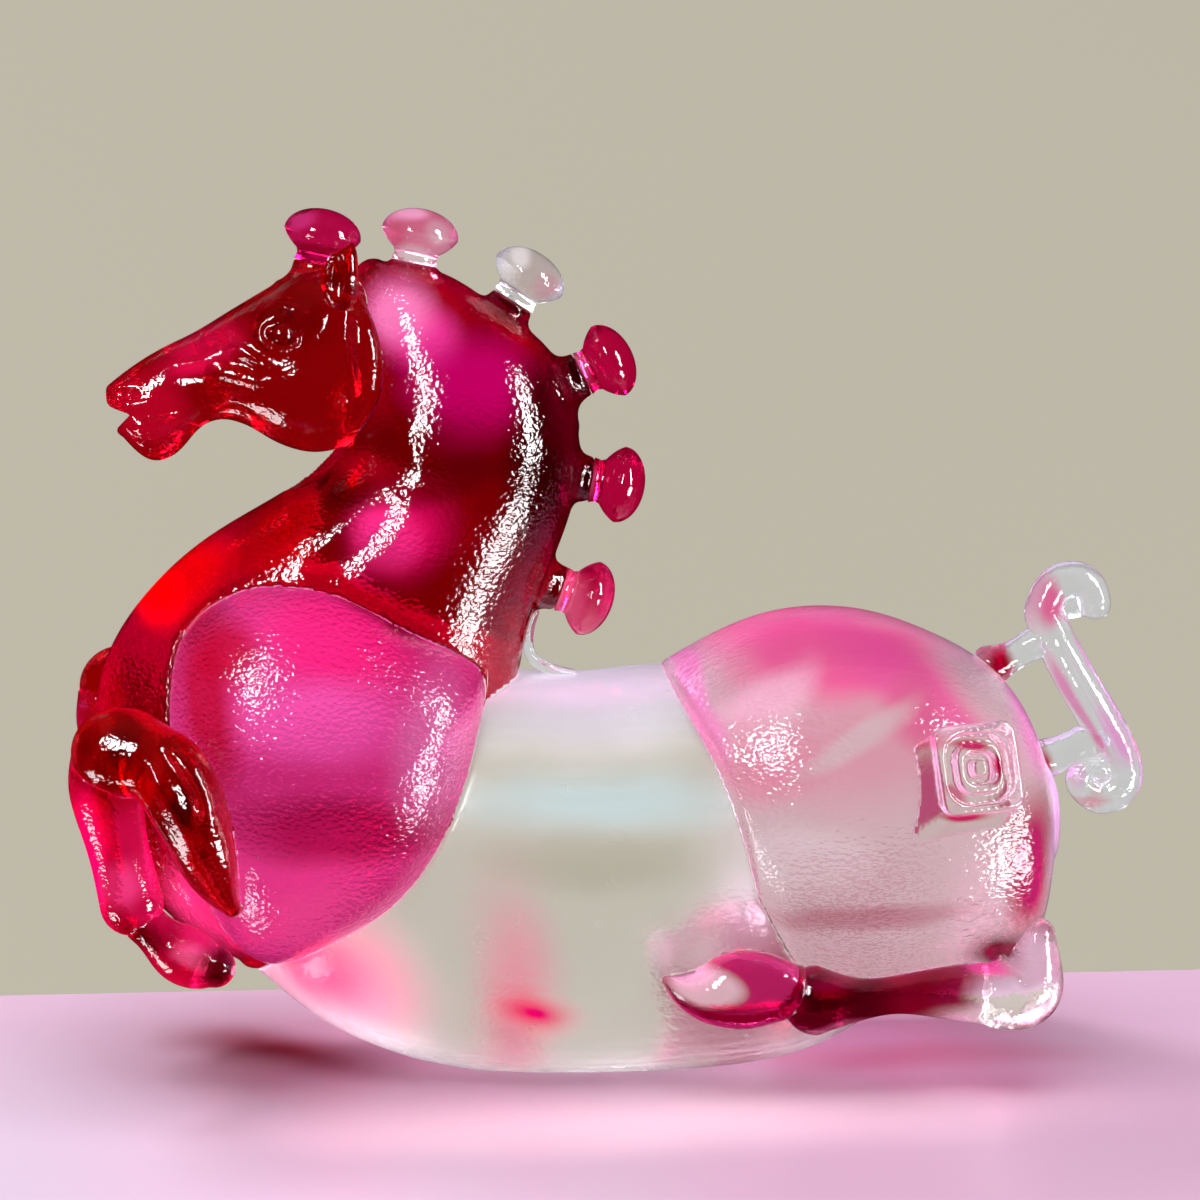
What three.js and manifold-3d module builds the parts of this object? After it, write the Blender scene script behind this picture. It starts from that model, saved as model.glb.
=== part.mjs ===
// A cast-glass horse figurine at rest on its belly, in millimetres.
// +Z is up, the head points to -X and the horse's left side faces -Y. The origin is on the table, in the
// middle of the figure's length and width.
import * as THREE from 'three';
import { mergeVertices } from 'three/addons/utils/BufferGeometryUtils.js';
import Module from 'manifold-3d';

const wasm = await Module();
wasm.setup();

// Driving dimensions
const seam = 0.3; // fused line between two glasses
const bodySides = 22; // facets round a body mass
const headSides = 16; // facets round the skull
const limbSides = 10; // facets round a limb, an ear or the tail
const knobSides = 14; // facets round a knob
const rootSides = 10; // facets round the flare that a knob stands on
const ballSides = 12; // facets round an eye, a knee or a nostril
const limbRings = 7; // sections along a limb

const neck = { pollHalfWidth: 5.5, chestHalfWidth: 24.5, endDome: 3, fullness: 2.1, rings: 18 };
const shoulder = { inner: 11, outer: 34.5, fullness: 2.6, rings: 7, sides: 26 };
const quarters = { halfWidth: 36, endDome: 2.4, fullness: 2.4, rings: 13 };
const barrel = { narrower: 7.5, endDome: 2, fullness: 2.3, rings: 12 }; // narrower than the haunch, each side
const head = { cheekHalfWidth: 11, endDome: 1, fullness: 2.4, rings: 14 };
const jowl = { radius: 10.8, proud: 1.3, inner: 2, fullness: 2, rings: 6, sides: 18 };
const mouth = { upperSlope: 0.34, lowerSlope: 1.02 };
const nostril = { radius: 1.5, shape: [1.5, 0.8, 0.9] };
const eye = { radius: 2.1, lidRadius: 2.9, lidThickness: 0.55, lidSections: 14, lidSides: 5 };
const earHollow = { at: [-44.9, -1.1, 133], size: [1.5, 1.5, 3.9] };
const knee = { at: [-80.9, 9.9, 57.6], size: [7.2, 6.6, 7.2] };
const knob = { capRadius: 6.4, capHeight: 6.6, stemRadius: 3.8, stemHeight: 2.5, rim: 2.4, waist: 0.3 };
const flare = { height: 4.4, spread: 3.8, root: 5 };
const withersStripWidth = 3.6;
const rightForeleg = { raise: 3.5, reach: 2.2 }; // the right knee is held higher and further forward
const tailWidth = 6.6;
const seal = {
  side: 14.6, corner: 2, height: 7.5, at: [55.7, 8.5, 53.2],
  turn: 14, tip: 15, roll: 3, rim: 1.3, channel: 1.2, island: 3.2, depth: 1, cornerFacets: 3,
};

// Side profiles. Each station has a front and a back point [x, z] of the outline, and its width is a share
// of the piece's own half width.
const neckStations = [
  { front: [-41.5, 130], back: [-37, 135.4], width: 0 },
  { front: [-41, 121], back: [-27, 133.4], width: 0.24 },
  { front: [-42, 112], back: [-17, 126.9], width: 0.4 },
  { front: [-45.5, 104.6], back: [-9.3, 120.2], width: 0.53 },
  { front: [-53.5, 97.6], back: [-4.8, 107], width: 0.66 },
  { front: [-66, 90.2], back: [-6.4, 93], width: 0.76 },
  { front: [-77, 80.5], back: [-11.6, 79.5], width: 0.82 },
  { front: [-83.5, 70.5], back: [-14.4, 69.5], width: 0.9 },
  { front: [-85.9, 59], back: [-17.6, 56], width: 1 },
  { front: [-85, 47], back: [-23, 44], width: 1 },
  { front: [-80.5, 35], back: [-31, 35], width: 0.93 },
  { front: [-72, 24.8], back: [-42, 28], width: 0.7 },
  { front: [-62.5, 18.8], back: [-54, 22], width: 0.3 },
];
const barrelStations = [
  { front: [-59, 24], back: [-59.5, 17], width: 0.25 },
  { front: [-50, 45], back: [-50, 9.2], width: 0.64 },
  { front: [-38, 60], back: [-38, 3], width: 0.84 },
  { front: [-24, 66.6], back: [-24, -0.6], width: 0.95 },
  { front: [-8, 66.2], back: [-8, -1.7], width: 1 },
  { front: [4, 67], back: [4, -1.7], width: 1 },
  { front: [13, 67.4], back: [17, -1], width: 0.98 },
  { front: [20, 66.5], back: [28, 0.4], width: 0.93 },
  { front: [26, 63], back: [38, 3.6], width: 0.82 },
  { front: [31, 58], back: [47, 8.6], width: 0.6 },
];
const quarterStations = [
  { front: [9.8, 67.4], back: [23.4, 21.5], width: 0.86, bow: 4.4 },
  { front: [17, 71.4], back: [29.6, 14.5], width: 0.94, bow: 3.2 },
  { front: [26.5, 75.3], back: [38, 11.6], width: 1, bow: 1.6 },
  { front: [37, 76.8], back: [46, 11], width: 1 },
  { front: [46.6, 75.6], back: [54, 12.2], width: 0.98 },
  { front: [55, 72.6], back: [61, 13.6], width: 0.94 },
  { front: [63.5, 68], back: [67, 16.4], width: 0.87 },
  { front: [70, 60.5], back: [71.6, 22.5], width: 0.73 },
  { front: [73.4, 51.5], back: [73.6, 33], width: 0.5 },
];
const headStations = [
  { front: [-41, 132.6], back: [-39.5, 125], width: 0.5 },
  { front: [-45, 134.6], back: [-38.5, 115.5], width: 0.85 },
  { front: [-51.5, 133.7], back: [-41, 107], width: 1 },
  { front: [-56.6, 131], back: [-49, 104.9], width: 1 },
  { front: [-63, 127.2], back: [-56.8, 107], width: 0.87 },
  { front: [-68.3, 124], back: [-63, 109.4], width: 0.72 },
  { front: [-73.2, 121.6], back: [-67.8, 108], width: 0.62 },
  { front: [-77.4, 119.2], back: [-71.3, 104.2], width: 0.6 },
  { front: [-80.8, 116.8], back: [-76.2, 102.9], width: 0.56 },
  { front: [-82.8, 115.2], back: [-80.6, 106.8], width: 0.4 },
];
const shoulderEdge = [
  [-73, 66], [-69.5, 77], [-58.5, 84], [-46, 83.8], [-34, 77.6], [-21.5, 68.2], [-21.8, 60], [-23.2, 50],
  [-27, 40], [-34.3, 31], [-45, 24.6], [-57.5, 20.6], [-65.5, 28], [-71.5, 46],
];
const shoulderCrown = [-46, 55];

// Rows of [x, y, z] with a radius in the side plane and a half width across it. For the legs and ears, and
// for every other point given on the left side, y is how far it lies in from the widest line of its carrier.
const forearmPath = [
  { at: [-62.4, 6.7, 32.8], r: 1.8, half: 2.4 },
  { at: [-64.6, 5.7, 37], r: 3.9, half: 4.4 },
  { at: [-68, 4.9, 46], r: 6, half: 6.2 },
  { at: [-72.3, 6.1, 54], r: 6.6, half: 6.6 },
  { at: [-77.5, 8.5, 57.6], r: 6.4, half: 6.4 },
];
const foreCannonPath = [
  { at: [-83, 10.7, 56], r: 5.4, half: 5.4 },
  { at: [-82.7, 10.9, 51.6], r: 5.9, half: 5.4 },
  { at: [-81.3, 11.5, 43.5], r: 5.1, half: 4.6 },
  { at: [-79.9, 12.1, 37], r: 5, half: 4.4 },
  { at: [-78.9, 12.5, 32.2], r: 5.2, half: 4.8 },
];
const foreHoofPath = [
  { at: [-77.6, 12.5, 30], r: 3.7, half: 3.9 },
  { at: [-74.9, 12.5, 27.2], r: 3.6, half: 3.8 },
  { at: [-71.4, 12.3, 24.3], r: 4.8, half: 4.8 },
  { at: [-67.6, 12.1, 22.4], r: 4.4, half: 4.6 },
  { at: [-65.6, 12, 21.8], r: 3.4, half: 4 },
];
const hockPath = [
  { at: [69.4, 10.5, 25.6], r: 2.8, half: 3 },
  { at: [68.6, 9.5, 20.6], r: 4.8, half: 4.6 },
  { at: [66.8, 9, 17.3], r: 6.4, half: 5.6 },
  { at: [63, 8.6, 16.2], r: 5.7, half: 5.4 },
];
const hindCannonPath = [
  { at: [62, 8.5, 16.4], r: 5.2, half: 5 },
  { at: [54.6, 8, 16.8], r: 4.5, half: 4.7 },
  { at: [46, 8, 16.7], r: 3.2, half: 4 },
  { at: [39.4, 8, 16], r: 3.5, half: 4.2 },
  { at: [32.4, 8, 15.9], r: 5.8, half: 5 },
];
const hindHoofPath = [
  { at: [28.6, 8, 17.5], r: 4.4, half: 4.6 },
  { at: [21, 8, 17.9], r: 6.5, half: 5.4 },
  { at: [14.2, 8.4, 17.4], r: 5, half: 4.6 },
  { at: [9.9, 9, 18.4], r: 2.6, half: 2.8 },
  { at: [7.6, 9.4, 19.6], r: 0.9, half: 1 },
];
const earPath = [
  { at: [-43.9, 3, 127.4], r: 1.8, half: 1.8 },
  { at: [-44.3, 1.4, 130.5], r: 2.9, half: 2.1 },
  { at: [-44.1, 0.4, 134], r: 3, half: 2 },
  { at: [-43.1, 0.2, 136.6], r: 1.9, half: 1.4 },
  { at: [-42.4, 0.5, 138.2], r: 0.6, half: 0.6 },
];
const stripPath = [
  { at: [-9.6, 0, 81.6], r: 0.8 },
  { at: [-12, 0, 77.6], r: 0.95 },
  { at: [-13.4, 0, 73], r: 1 },
  { at: [-12.6, 0, 69], r: 0.95 },
  { at: [-9.1, 0, 66.9], r: 0.9 },
  { at: [-5.6, 0, 66.2], r: 0.7 },
];
const upperPegPath = [
  { at: [65.6, 0, 66.8], r: 3.7 },
  { at: [69.9, 0, 68.9], r: 2.5 },
  { at: [73.4, 0, 70.8], r: 3 },
  { at: [76.4, 0, 72], r: 3.2 },
];
const lowerPegPath = [
  { at: [73, 0, 50], r: 4 },
  { at: [78, 0, 51.8], r: 3 },
  { at: [81.5, 0, 53.1], r: 3.3 },
  { at: [84.6, 0, 54.2], r: 3.3 },
];
const upperCurlPath = [
  { at: [83.2, 0, 77.3], r: 2.7 },
  { at: [82.1, 0, 80.2], r: 2.9 },
  { at: [79.5, 0, 81.5], r: 3.1 },
  { at: [76.6, 0, 80.7], r: 3.1 },
  { at: [74.8, 0, 78.2], r: 3 },
  { at: [74.3, 0, 75.2], r: 3 },
  { at: [76, 0, 72], r: 3.1 },
];
const tailBarPath = [
  { at: [74.2, 0, 76], r: 2.9 },
  { at: [76.2, 0, 71.6], r: 3.3 },
  { at: [80.4, 0, 63.9], r: 3.5 },
  { at: [84.7, 0, 56.8], r: 3.6 },
  { at: [87.6, 0, 51.3], r: 3.6 },
  { at: [88.7, 0, 47.2], r: 3.2 },
  { at: [87.2, 0, 44.6], r: 3 },
];
const lowerCurlPath = [
  { at: [88.2, 0, 46.4], r: 2.9 },
  { at: [85.6, 0, 43.9], r: 2.8 },
  { at: [82.6, 0, 44.8], r: 2.6 },
  { at: [81, 0, 47.3], r: 2.3 },
  { at: [82.6, 0, 49.2], r: 1.9 },
  { at: [84.8, 0, 48.6], r: 1.5 },
];
const curlWebs = [
  { at: [79.3, 0, 78], r: 3.2, half: 1.8 },
  { at: [84.6, 0, 47], r: 3.2, half: 2.1 },
];

// Seats of the knobs: a point on the outline and the lean from upright, in degrees towards the tail
const forelockSeat = { x: -48.2, z: 135.2, lean: 12, spread: 1.8 };
const maneSeats = [
  { x: -32.1, z: 135.2, lean: 12 },
  { x: -15.7, z: 128.9, lean: 33 },
  { x: -4.2, z: 116.7, lean: 64 },
  { x: -2.7, z: 99, lean: 100 },
  { x: -7.8, z: 80.6, lean: 109 },
];

const eyeAt = [-53.8, 1.4, 124];
const nostrilAt = [-79.2, 5.6, 114.2];
const jowlAt = [-48.8, 115.2];
const mouthCorner = [-78.9, 110.6];

// Curves and surfaces

// A smooth curve through [x, z] points in the plane y = 0.
function sideCurve(points, closed = false) {
  return new THREE.CatmullRomCurve3(points.map(([x, z]) => new THREE.Vector3(x, 0, z)), closed);
}

// The place of a point on the left side of a mass, from how far in it lies from the mass's widest line.
function beside([x, inward, z], halfWidth) {
  return [x, inward - halfWidth, z];
}

// The same for a row of stations.
function rowBeside(stations, halfWidth) {
  return stations.map((s) => ({ ...s, at: beside(s.at, halfWidth) }));
}

// A closed triangle mesh through rings of points, with a fan over each end.
function skin(rings) {
  const sides = rings[0].length;
  const positions = rings.flat().flatMap((p) => [p.x, p.y, p.z]);
  const triangles = [];
  for (let r = 0; r + 1 < rings.length; r++) {
    for (let s = 0; s < sides; s++) {
      const next = (s + 1) % sides;
      const a = r * sides + s;
      const b = r * sides + next;
      triangles.push(a, b, b + sides, a, b + sides, a + sides);
    }
  }
  for (const end of [0, rings.length - 1]) {
    const middle = rings[end].reduce((sum, p) => sum.add(p), new THREE.Vector3()).divideScalar(sides);
    const centre = positions.length / 3;
    positions.push(middle.x, middle.y, middle.z);
    for (let s = 0; s < sides; s++) {
      const a = end * sides + s;
      const b = end * sides + ((s + 1) % sides);
      triangles.push(...(end === 0 ? [centre, b, a] : [centre, a, b]));
    }
  }
  const made = new THREE.BufferGeometry();
  made.setAttribute('position', new THREE.Float32BufferAttribute(positions, 3));
  made.setIndex(triangles);
  return facingOut(made);
}

// Turns a closed mesh the right way round.
function facingOut(geometry) {
  const p = geometry.attributes.position;
  const index = geometry.index.array;
  const [a, b, c] = [new THREE.Vector3(), new THREE.Vector3(), new THREE.Vector3()];
  let volume = 0;
  for (let i = 0; i < index.length; i += 3) {
    a.fromBufferAttribute(p, index[i]);
    b.fromBufferAttribute(p, index[i + 1]);
    c.fromBufferAttribute(p, index[i + 2]);
    volume += a.dot(b.cross(c));
  }
  if (volume < 0) {
    for (let i = 0; i < index.length; i += 3) {
      [index[i + 1], index[i + 2]] = [index[i + 2], index[i + 1]];
    }
  }
  return geometry;
}

// One rounded section: half lengths along a direction in the side plane and across the horse. Its two
// sides can be bowed forward or back.
function section(centre, along, half, fullness, sides, bow = new THREE.Vector3()) {
  const ring = [];
  for (let s = 0; s < sides; s++) {
    const angle = (2 * Math.PI * s) / sides;
    const [c, n] = [Math.cos(angle), Math.sin(angle)];
    const u = Math.sign(c) * Math.abs(c) ** (2 / fullness);
    const v = Math.sign(n) * Math.abs(n) ** (2 / fullness);
    const point = centre.clone().addScaledVector(along, u).addScaledVector(bow, v * v);
    ring.push(point.add(new THREE.Vector3(0, v * half, 0)));
  }
  return ring;
}

// A mass lofted between a front and a back outline. Its ends are domed, and grow makes it larger all round.
function railLoft(stations, { half, least = 0, endDome, fullness, rings, sides, grow = 0 }) {
  const front = sideCurve(stations.map((s) => s.front));
  const back = sideCurve(stations.map((s) => s.back));
  const widths = new THREE.CatmullRomCurve3(stations.map((s) => new THREE.Vector3(s.width, s.bow ?? 0, 0)));
  const domeRings = 2;
  const at = (t, shrink, push) => {
    const [f, b, w] = [front.getPoint(t), back.getPoint(t), widths.getPoint(t)];
    const along = b.clone().sub(f).multiplyScalar(0.5);
    const centre = f.clone().add(b).multiplyScalar(0.5);
    const ahead = new THREE.Vector3(-along.z, 0, along.x).normalize();
    centre.addScaledVector(ahead, push);
    along.setLength((along.length() + grow) * shrink);
    const width = (least + (half - least) * w.x + grow) * shrink;
    return section(centre, along, width, fullness, sides, ahead.multiplyScalar(w.y));
  };
  // The section's normal turns from the first rail's side to the travel direction.
  const travel = front.getPoint(0.1).add(back.getPoint(0.1)).sub(front.getPoint(0)).sub(back.getPoint(0));
  const across = back.getPoint(0).sub(front.getPoint(0));
  const sense = Math.sign(travel.dot(new THREE.Vector3(-across.z, 0, across.x)));
  const dome = endDome + grow;
  const made = [];
  for (let k = domeRings; k > 0; k--) {
    const angle = (k / (domeRings + 0.5)) * (Math.PI / 2);
    made.push(at(0, Math.cos(angle), -sense * dome * Math.sin(angle)));
  }
  for (let r = 0; r <= rings; r++) {
    made.push(at(r / rings, 1, 0));
  }
  for (let k = 1; k <= domeRings; k++) {
    const angle = (k / (domeRings + 0.5)) * (Math.PI / 2);
    made.push(at(1, Math.cos(angle), sense * dome * Math.sin(angle)));
  }
  return skin(made);
}

// A domed mass on the horse's left side, swelling out from a flat inner face with the given edge.
function pillow(edge, middle, { inner, outer, fullness, rings, sides }, grow = 0) {
  const outline = sideCurve(edge, true).getSpacedPoints(sides).slice(0, sides);
  const centre = new THREE.Vector3(middle[0], 0, middle[1]);
  const made = [];
  for (let k = 0; k < rings; k++) {
    const angle = (k / (rings - 0.4)) * (Math.PI / 2);
    const shrink = Math.cos(angle) ** (2 / fullness);
    const rise = Math.sin(angle) ** (2 / fullness);
    const y = -(inner - grow + (outer - inner + 2 * grow) * rise);
    made.push(outline.map((p) => {
      const arm = p.clone().sub(centre);
      arm.setLength((arm.length() + grow) * shrink);
      return centre.clone().add(arm).setY(y);
    }));
  }
  return skin(made);
}

// A limb of elliptical section along a path, with rounded ends.
function limb(stations, { rings = limbRings, sides = limbSides, half, grow = 0 } = {}) {
  const path = new THREE.CatmullRomCurve3(stations.map((s) => new THREE.Vector3(...s.at)));
  const sizes = new THREE.CatmullRomCurve3(stations.map((s) => new THREE.Vector3(s.r, s.half ?? half, 0)));
  const at = (t, shrink, push) => {
    const tangent = path.getTangent(t);
    const along = new THREE.Vector3(-tangent.z, 0, tangent.x);
    const size = sizes.getPoint(t);
    const centre = path.getPoint(t).addScaledVector(tangent, push * (size.x + grow));
    along.setLength((size.x + grow) * shrink);
    return section(centre, along, (size.y + grow) * shrink, 2, sides);
  };
  const ends = [1.25, 0.65];
  const made = ends.map((angle) => at(0, Math.cos(angle), -Math.sin(angle)));
  for (let r = 0; r <= rings; r++) {
    made.push(at(r / rings, 1, 0));
  }
  made.push(...ends.reverse().map((angle) => at(1, Math.cos(angle), Math.sin(angle))));
  return solidOf(skin(made));
}

// Solids: closed meshes as manifold bodies for cutting and joining

function solidOf(geometry) {
  const bare = new THREE.BufferGeometry().setAttribute('position', geometry.getAttribute('position'));
  if (geometry.index) {
    bare.setIndex(geometry.index);
  }
  const merged = mergeVertices(bare, 1e-4);
  return new wasm.Manifold(new wasm.Mesh({
    numProp: 3,
    vertProperties: merged.attributes.position.array,
    triVerts: new Uint32Array(merged.index.array),
  }));
}

function geometryOf(solid) {
  const mesh = solid.getMesh();
  const made = new THREE.BufferGeometry();
  const corners = new Float32Array(mesh.numVert * 3);
  for (let i = 0; i < mesh.numVert; i++) {
    corners.set(mesh.vertProperties.subarray(i * mesh.numProp, i * mesh.numProp + 3), i * 3);
  }
  made.setAttribute('position', new THREE.BufferAttribute(corners, 3));
  made.setIndex(new THREE.BufferAttribute(mesh.triVerts, 1));
  made.computeVertexNormals();
  return made;
}

// What is left of a solid once its neighbours are cut away: the largest piece.
function cut(solid, ...cutters) {
  const left = cutters.reduce((rest, cutter) => rest.subtract(cutter), solid);
  return left.decompose().sort((a, b) => b.volume() - a.volume())[0];
}

function join(...solids) {
  return solids.reduce((all, next) => all.add(next));
}

const mirrored = (geometry) => facingOut(geometry.clone().scale(1, -1, 1));

// Glass
const glass = (color, opacity, roughness) => new THREE.MeshStandardMaterial({
  color, opacity, transparent: true, roughness, metalness: 0,
});
const ruby = glass(0x9c0618, 0.92, 0.16);
const magenta = glass(0xc0246e, 0.88, 0.2);
const rose = glass(0xe27bb0, 0.75, 0.22);
const frosted = glass(0xd9dad6, 0.7, 0.32);
const clear = glass(0xe9e4ea, 0.5, 0.08);
const rosyClear = glass(0xd98ab4, 0.6, 0.1);
const cherry = glass(0xc22a5c, 0.8, 0.1);

const horse = new THREE.Group();

function addMesh(name, geometry, material) {
  const mesh = new THREE.Mesh(geometry, material.clone());
  mesh.name = name;
  horse.add(mesh);
}

// A pair of pieces, the left as modelled and the right mirrored across the middle of the horse.
function addPair(name, geometry, material) {
  addMesh('left_' + name, geometry, material);
  addMesh('right_' + name, mirrored(geometry), material);
}

const bothSides = (geometry) => join(solidOf(geometry), solidOf(mirrored(geometry)));

function ball(radius, place, shape = [1, 1, 1]) {
  return new THREE.SphereGeometry(radius, ballSides, 8).scale(...shape).translate(...place);
}

// Body masses before they are cut to meet each other. Grow is the seam where they cut a neighbour.
const neckForm = (grow = 0) => solidOf(railLoft(neckStations, {
  half: neck.chestHalfWidth, least: neck.pollHalfWidth, endDome: neck.endDome, fullness: neck.fullness,
  rings: neck.rings, sides: bodySides, grow,
}));
const barrelForm = (grow = 0) => solidOf(railLoft(barrelStations, {
  half: quarters.halfWidth - barrel.narrower, endDome: barrel.endDome, fullness: barrel.fullness,
  rings: barrel.rings, sides: bodySides, grow,
}));
const quartersForm = (grow = 0) => solidOf(railLoft(quarterStations, {
  half: quarters.halfWidth, endDome: quarters.endDome, fullness: quarters.fullness,
  rings: quarters.rings, sides: bodySides, grow,
}));
const skullForm = (grow = 0) => solidOf(railLoft(headStations, {
  half: head.cheekHalfWidth, endDome: head.endDome, fullness: head.fullness,
  rings: head.rings, sides: headSides, grow,
}));
const shouldersForm = (grow = 0) => bothSides(pillow(shoulderEdge, shoulderCrown, shoulder, grow));

// The round jowls on both sides of the skull.
function jowls(grow = 0) {
  const edge = [];
  for (let k = 0; k < 8; k++) {
    const angle = (k / 8) * 2 * Math.PI;
    edge.push([jowlAt[0] + jowl.radius * Math.cos(angle), jowlAt[1] + jowl.radius * Math.sin(angle)]);
  }
  return bothSides(pillow(edge, jowlAt, { ...jowl, outer: head.cheekHalfWidth + jowl.proud }, grow));
}

// A frame at a knob's seat, with its y axis along the knob.
function seatMatrix({ x, z, lean }) {
  const angle = THREE.MathUtils.degToRad(lean);
  const out = new THREE.Vector3(Math.sin(angle), 0, Math.cos(angle));
  const turn = new THREE.Quaternion().setFromUnitVectors(new THREE.Vector3(0, 1, 0), out);
  return new THREE.Matrix4().compose(new THREE.Vector3(x, 0, z), turn, new THREE.Vector3(1, 1, 1));
}

// A closed body turned about its own y axis from [radius, height] points.
function turned(profile, sides) {
  return new THREE.LatheGeometry(profile.map(([r, z]) => new THREE.Vector2(r, z)), sides);
}

// The root that a knob stands on: a stem that flares into the crest.
function knobRoot(seat, grow = 0) {
  const steps = 4;
  const low = -flare.height - flare.root;
  const spread = seat.spread ?? flare.spread;
  const profile = [[0, low], [knob.stemRadius + spread + grow, low]];
  for (let k = 0; k <= steps; k++) {
    const angle = (k / steps) * (Math.PI / 2);
    const radius = knob.stemRadius + spread * (1 - Math.sin(angle));
    profile.push([radius + grow, grow - flare.height * Math.cos(angle)]);
  }
  profile.push([0, grow]);
  return solidOf(turned(profile, rootSides).applyMatrix4(seatMatrix(seat)));
}

// A knob: a short waisted stem under a domed round cap.
function knobGeometry(seat) {
  const { capRadius, capHeight, stemRadius, stemHeight, rim, waist } = knob;
  const profile = [[0, seam], [stemRadius, seam], [stemRadius - waist, stemHeight / 2]];
  const underside = 3;
  for (let k = 0; k <= underside; k++) {
    const angle = (k / underside) * (Math.PI / 2);
    const radius = stemRadius + (capRadius - stemRadius) * Math.sin(angle);
    profile.push([radius, stemHeight + rim * (1 - Math.cos(angle))]);
  }
  const dome = 4;
  for (let k = 1; k <= dome; k++) {
    const angle = (k / dome) * (Math.PI / 2);
    const height = stemHeight + rim + (capHeight - rim) * Math.sin(angle);
    profile.push([k === dome ? 0 : capRadius * Math.cos(angle), height]);
  }
  return turned(profile, knobSides).applyMatrix4(seatMatrix(seat));
}

// The open mouth, as the wedge that is missing between the lips.
function mouthWedge() {
  const [x, z] = mouthCorner;
  const width = 2 * head.cheekHalfWidth;
  const reach = width / 2;
  const wedge = new THREE.Shape();
  wedge.moveTo(x, z);
  wedge.lineTo(x - reach, z + reach * mouth.upperSlope);
  wedge.lineTo(x - reach, z - reach * mouth.lowerSlope);
  wedge.closePath();
  const cutter = new THREE.ExtrudeGeometry(wedge, { depth: width, bevelEnabled: false });
  return solidOf(cutter.translate(0, 0, -width / 2).rotateX(Math.PI / 2));
}

// A raised lid round the left eye.
function eyelid() {
  const ring = new THREE.TorusGeometry(eye.lidRadius, eye.lidThickness, eye.lidSides, eye.lidSections);
  return ring.rotateX(Math.PI / 2).translate(...eyePlace);
}

const eyePlace = beside(eyeAt, head.cheekHalfWidth);
const eyeball = ball(eye.radius, eyePlace);
const eyeSockets = bothSides(ball(eye.radius + seam, eyePlace));
const nostrils = bothSides(ball(nostril.radius, beside(nostrilAt, head.cheekHalfWidth), nostril.shape));
const headForm = (grow = 0) => join(skullForm(grow), jowls(grow), knobRoot(forelockSeat, grow));
const crestForm = (grow = 0) => join(neckForm(grow), ...maneSeats.map((seat) => knobRoot(seat, grow)));

// Cutters: each carrier grown by the seam
const roundHead = headForm(seam);
const roundCrest = crestForm(seam);
const roundShoulders = shouldersForm(seam);
const roundBarrel = barrelForm(seam);
const roundQuarters = quartersForm(seam);

const skull = cut(join(headForm(), bothSides(eyelid())), mouthWedge(), nostrils, eyeSockets);
addMesh('head', geometryOf(skull), ruby);
addMesh('neck_and_chest', geometryOf(cut(crestForm(), roundHead, roundShoulders)), ruby);
addPair('shoulder', pillow(shoulderEdge, shoulderCrown, shoulder), magenta);
// The belly is ground flat where it stands on the table.
const trunk = cut(barrelForm(), roundCrest, roundShoulders, roundQuarters).trimByPlane([0, 0, 1], 0);
addMesh('barrel', geometryOf(trunk), frosted);
addMesh('hindquarters', geometryOf(quartersForm()), rose);

const leftEarHollow = solidOf(ball(1, beside(earHollow.at, head.cheekHalfWidth), earHollow.size));
const leftEar = limb(rowBeside(earPath, head.cheekHalfWidth));
addPair('ear', geometryOf(cut(leftEar, leftEarHollow, roundHead, roundCrest)), ruby);
addPair('eye', eyeball, ruby);

addMesh('forelock_knob', knobGeometry(forelockSeat), magenta);
const knobGlass = [rosyClear, clear, cherry, cherry, cherry];
maneSeats.forEach((seat, n) => addMesh('mane_knob_' + (n + 1), knobGeometry(seat), knobGlass[n]));
const strip = limb(stripPath, { half: withersStripWidth / 2 });
addMesh('withers_strip', geometryOf(cut(strip, roundCrest, roundBarrel)), clear);

// The parts of a folded foreleg on the left side, raised and brought forward by the given amounts.
function foreleg(raise, reach) {
  const held = ({ at: [x, inward, z], ...size }) => ({ at: [x - reach, inward, z + raise], ...size });
  const part = (path, grow) => limb(rowBeside(path.map(held), shoulder.outer), { grow });
  const kneeCap = (grow) => {
    const shape = knee.size.map((radius) => radius + grow);
    return solidOf(ball(1, beside(held(knee).at, shoulder.outer), shape));
  };
  const upper = (grow) => join(part(forearmPath, grow), kneeCap(grow));
  const middle = (grow) => part(foreCannonPath, grow);
  const carriers = [roundShoulders, roundCrest, roundBarrel];
  const forearm = cut(upper(0), ...carriers);
  const cannon = cut(middle(0), upper(seam), ...carriers);
  const hoof = cut(part(foreHoofPath, 0), middle(seam), upper(seam), ...carriers);
  return { forearm, fore_cannon: cannon, fore_hoof: hoof };
}

const foreGlass = { forearm: ruby, fore_cannon: magenta, fore_hoof: cherry };
for (const [name, solid] of Object.entries(foreleg(0, 0))) {
  addMesh('left_' + name, geometryOf(solid), foreGlass[name]);
}
for (const [name, solid] of Object.entries(foreleg(rightForeleg.raise, rightForeleg.reach))) {
  addMesh('right_' + name, mirrored(geometryOf(solid)), foreGlass[name]);
}

const hindPart = (path, grow = 0) => limb(rowBeside(path, quarters.halfWidth), { grow });
const hindCannon = cut(hindPart(hindCannonPath), hindPart(hockPath, seam), roundQuarters, roundBarrel);
const hindHoof = cut(hindPart(hindHoofPath), hindPart(hindCannonPath, seam), roundQuarters, roundBarrel);
addPair('hock', geometryOf(cut(hindPart(hockPath), roundQuarters)), clear);
addPair('hind_cannon', geometryOf(hindCannon), cherry);
addPair('hind_hoof', geometryOf(hindHoof), cherry);

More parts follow.
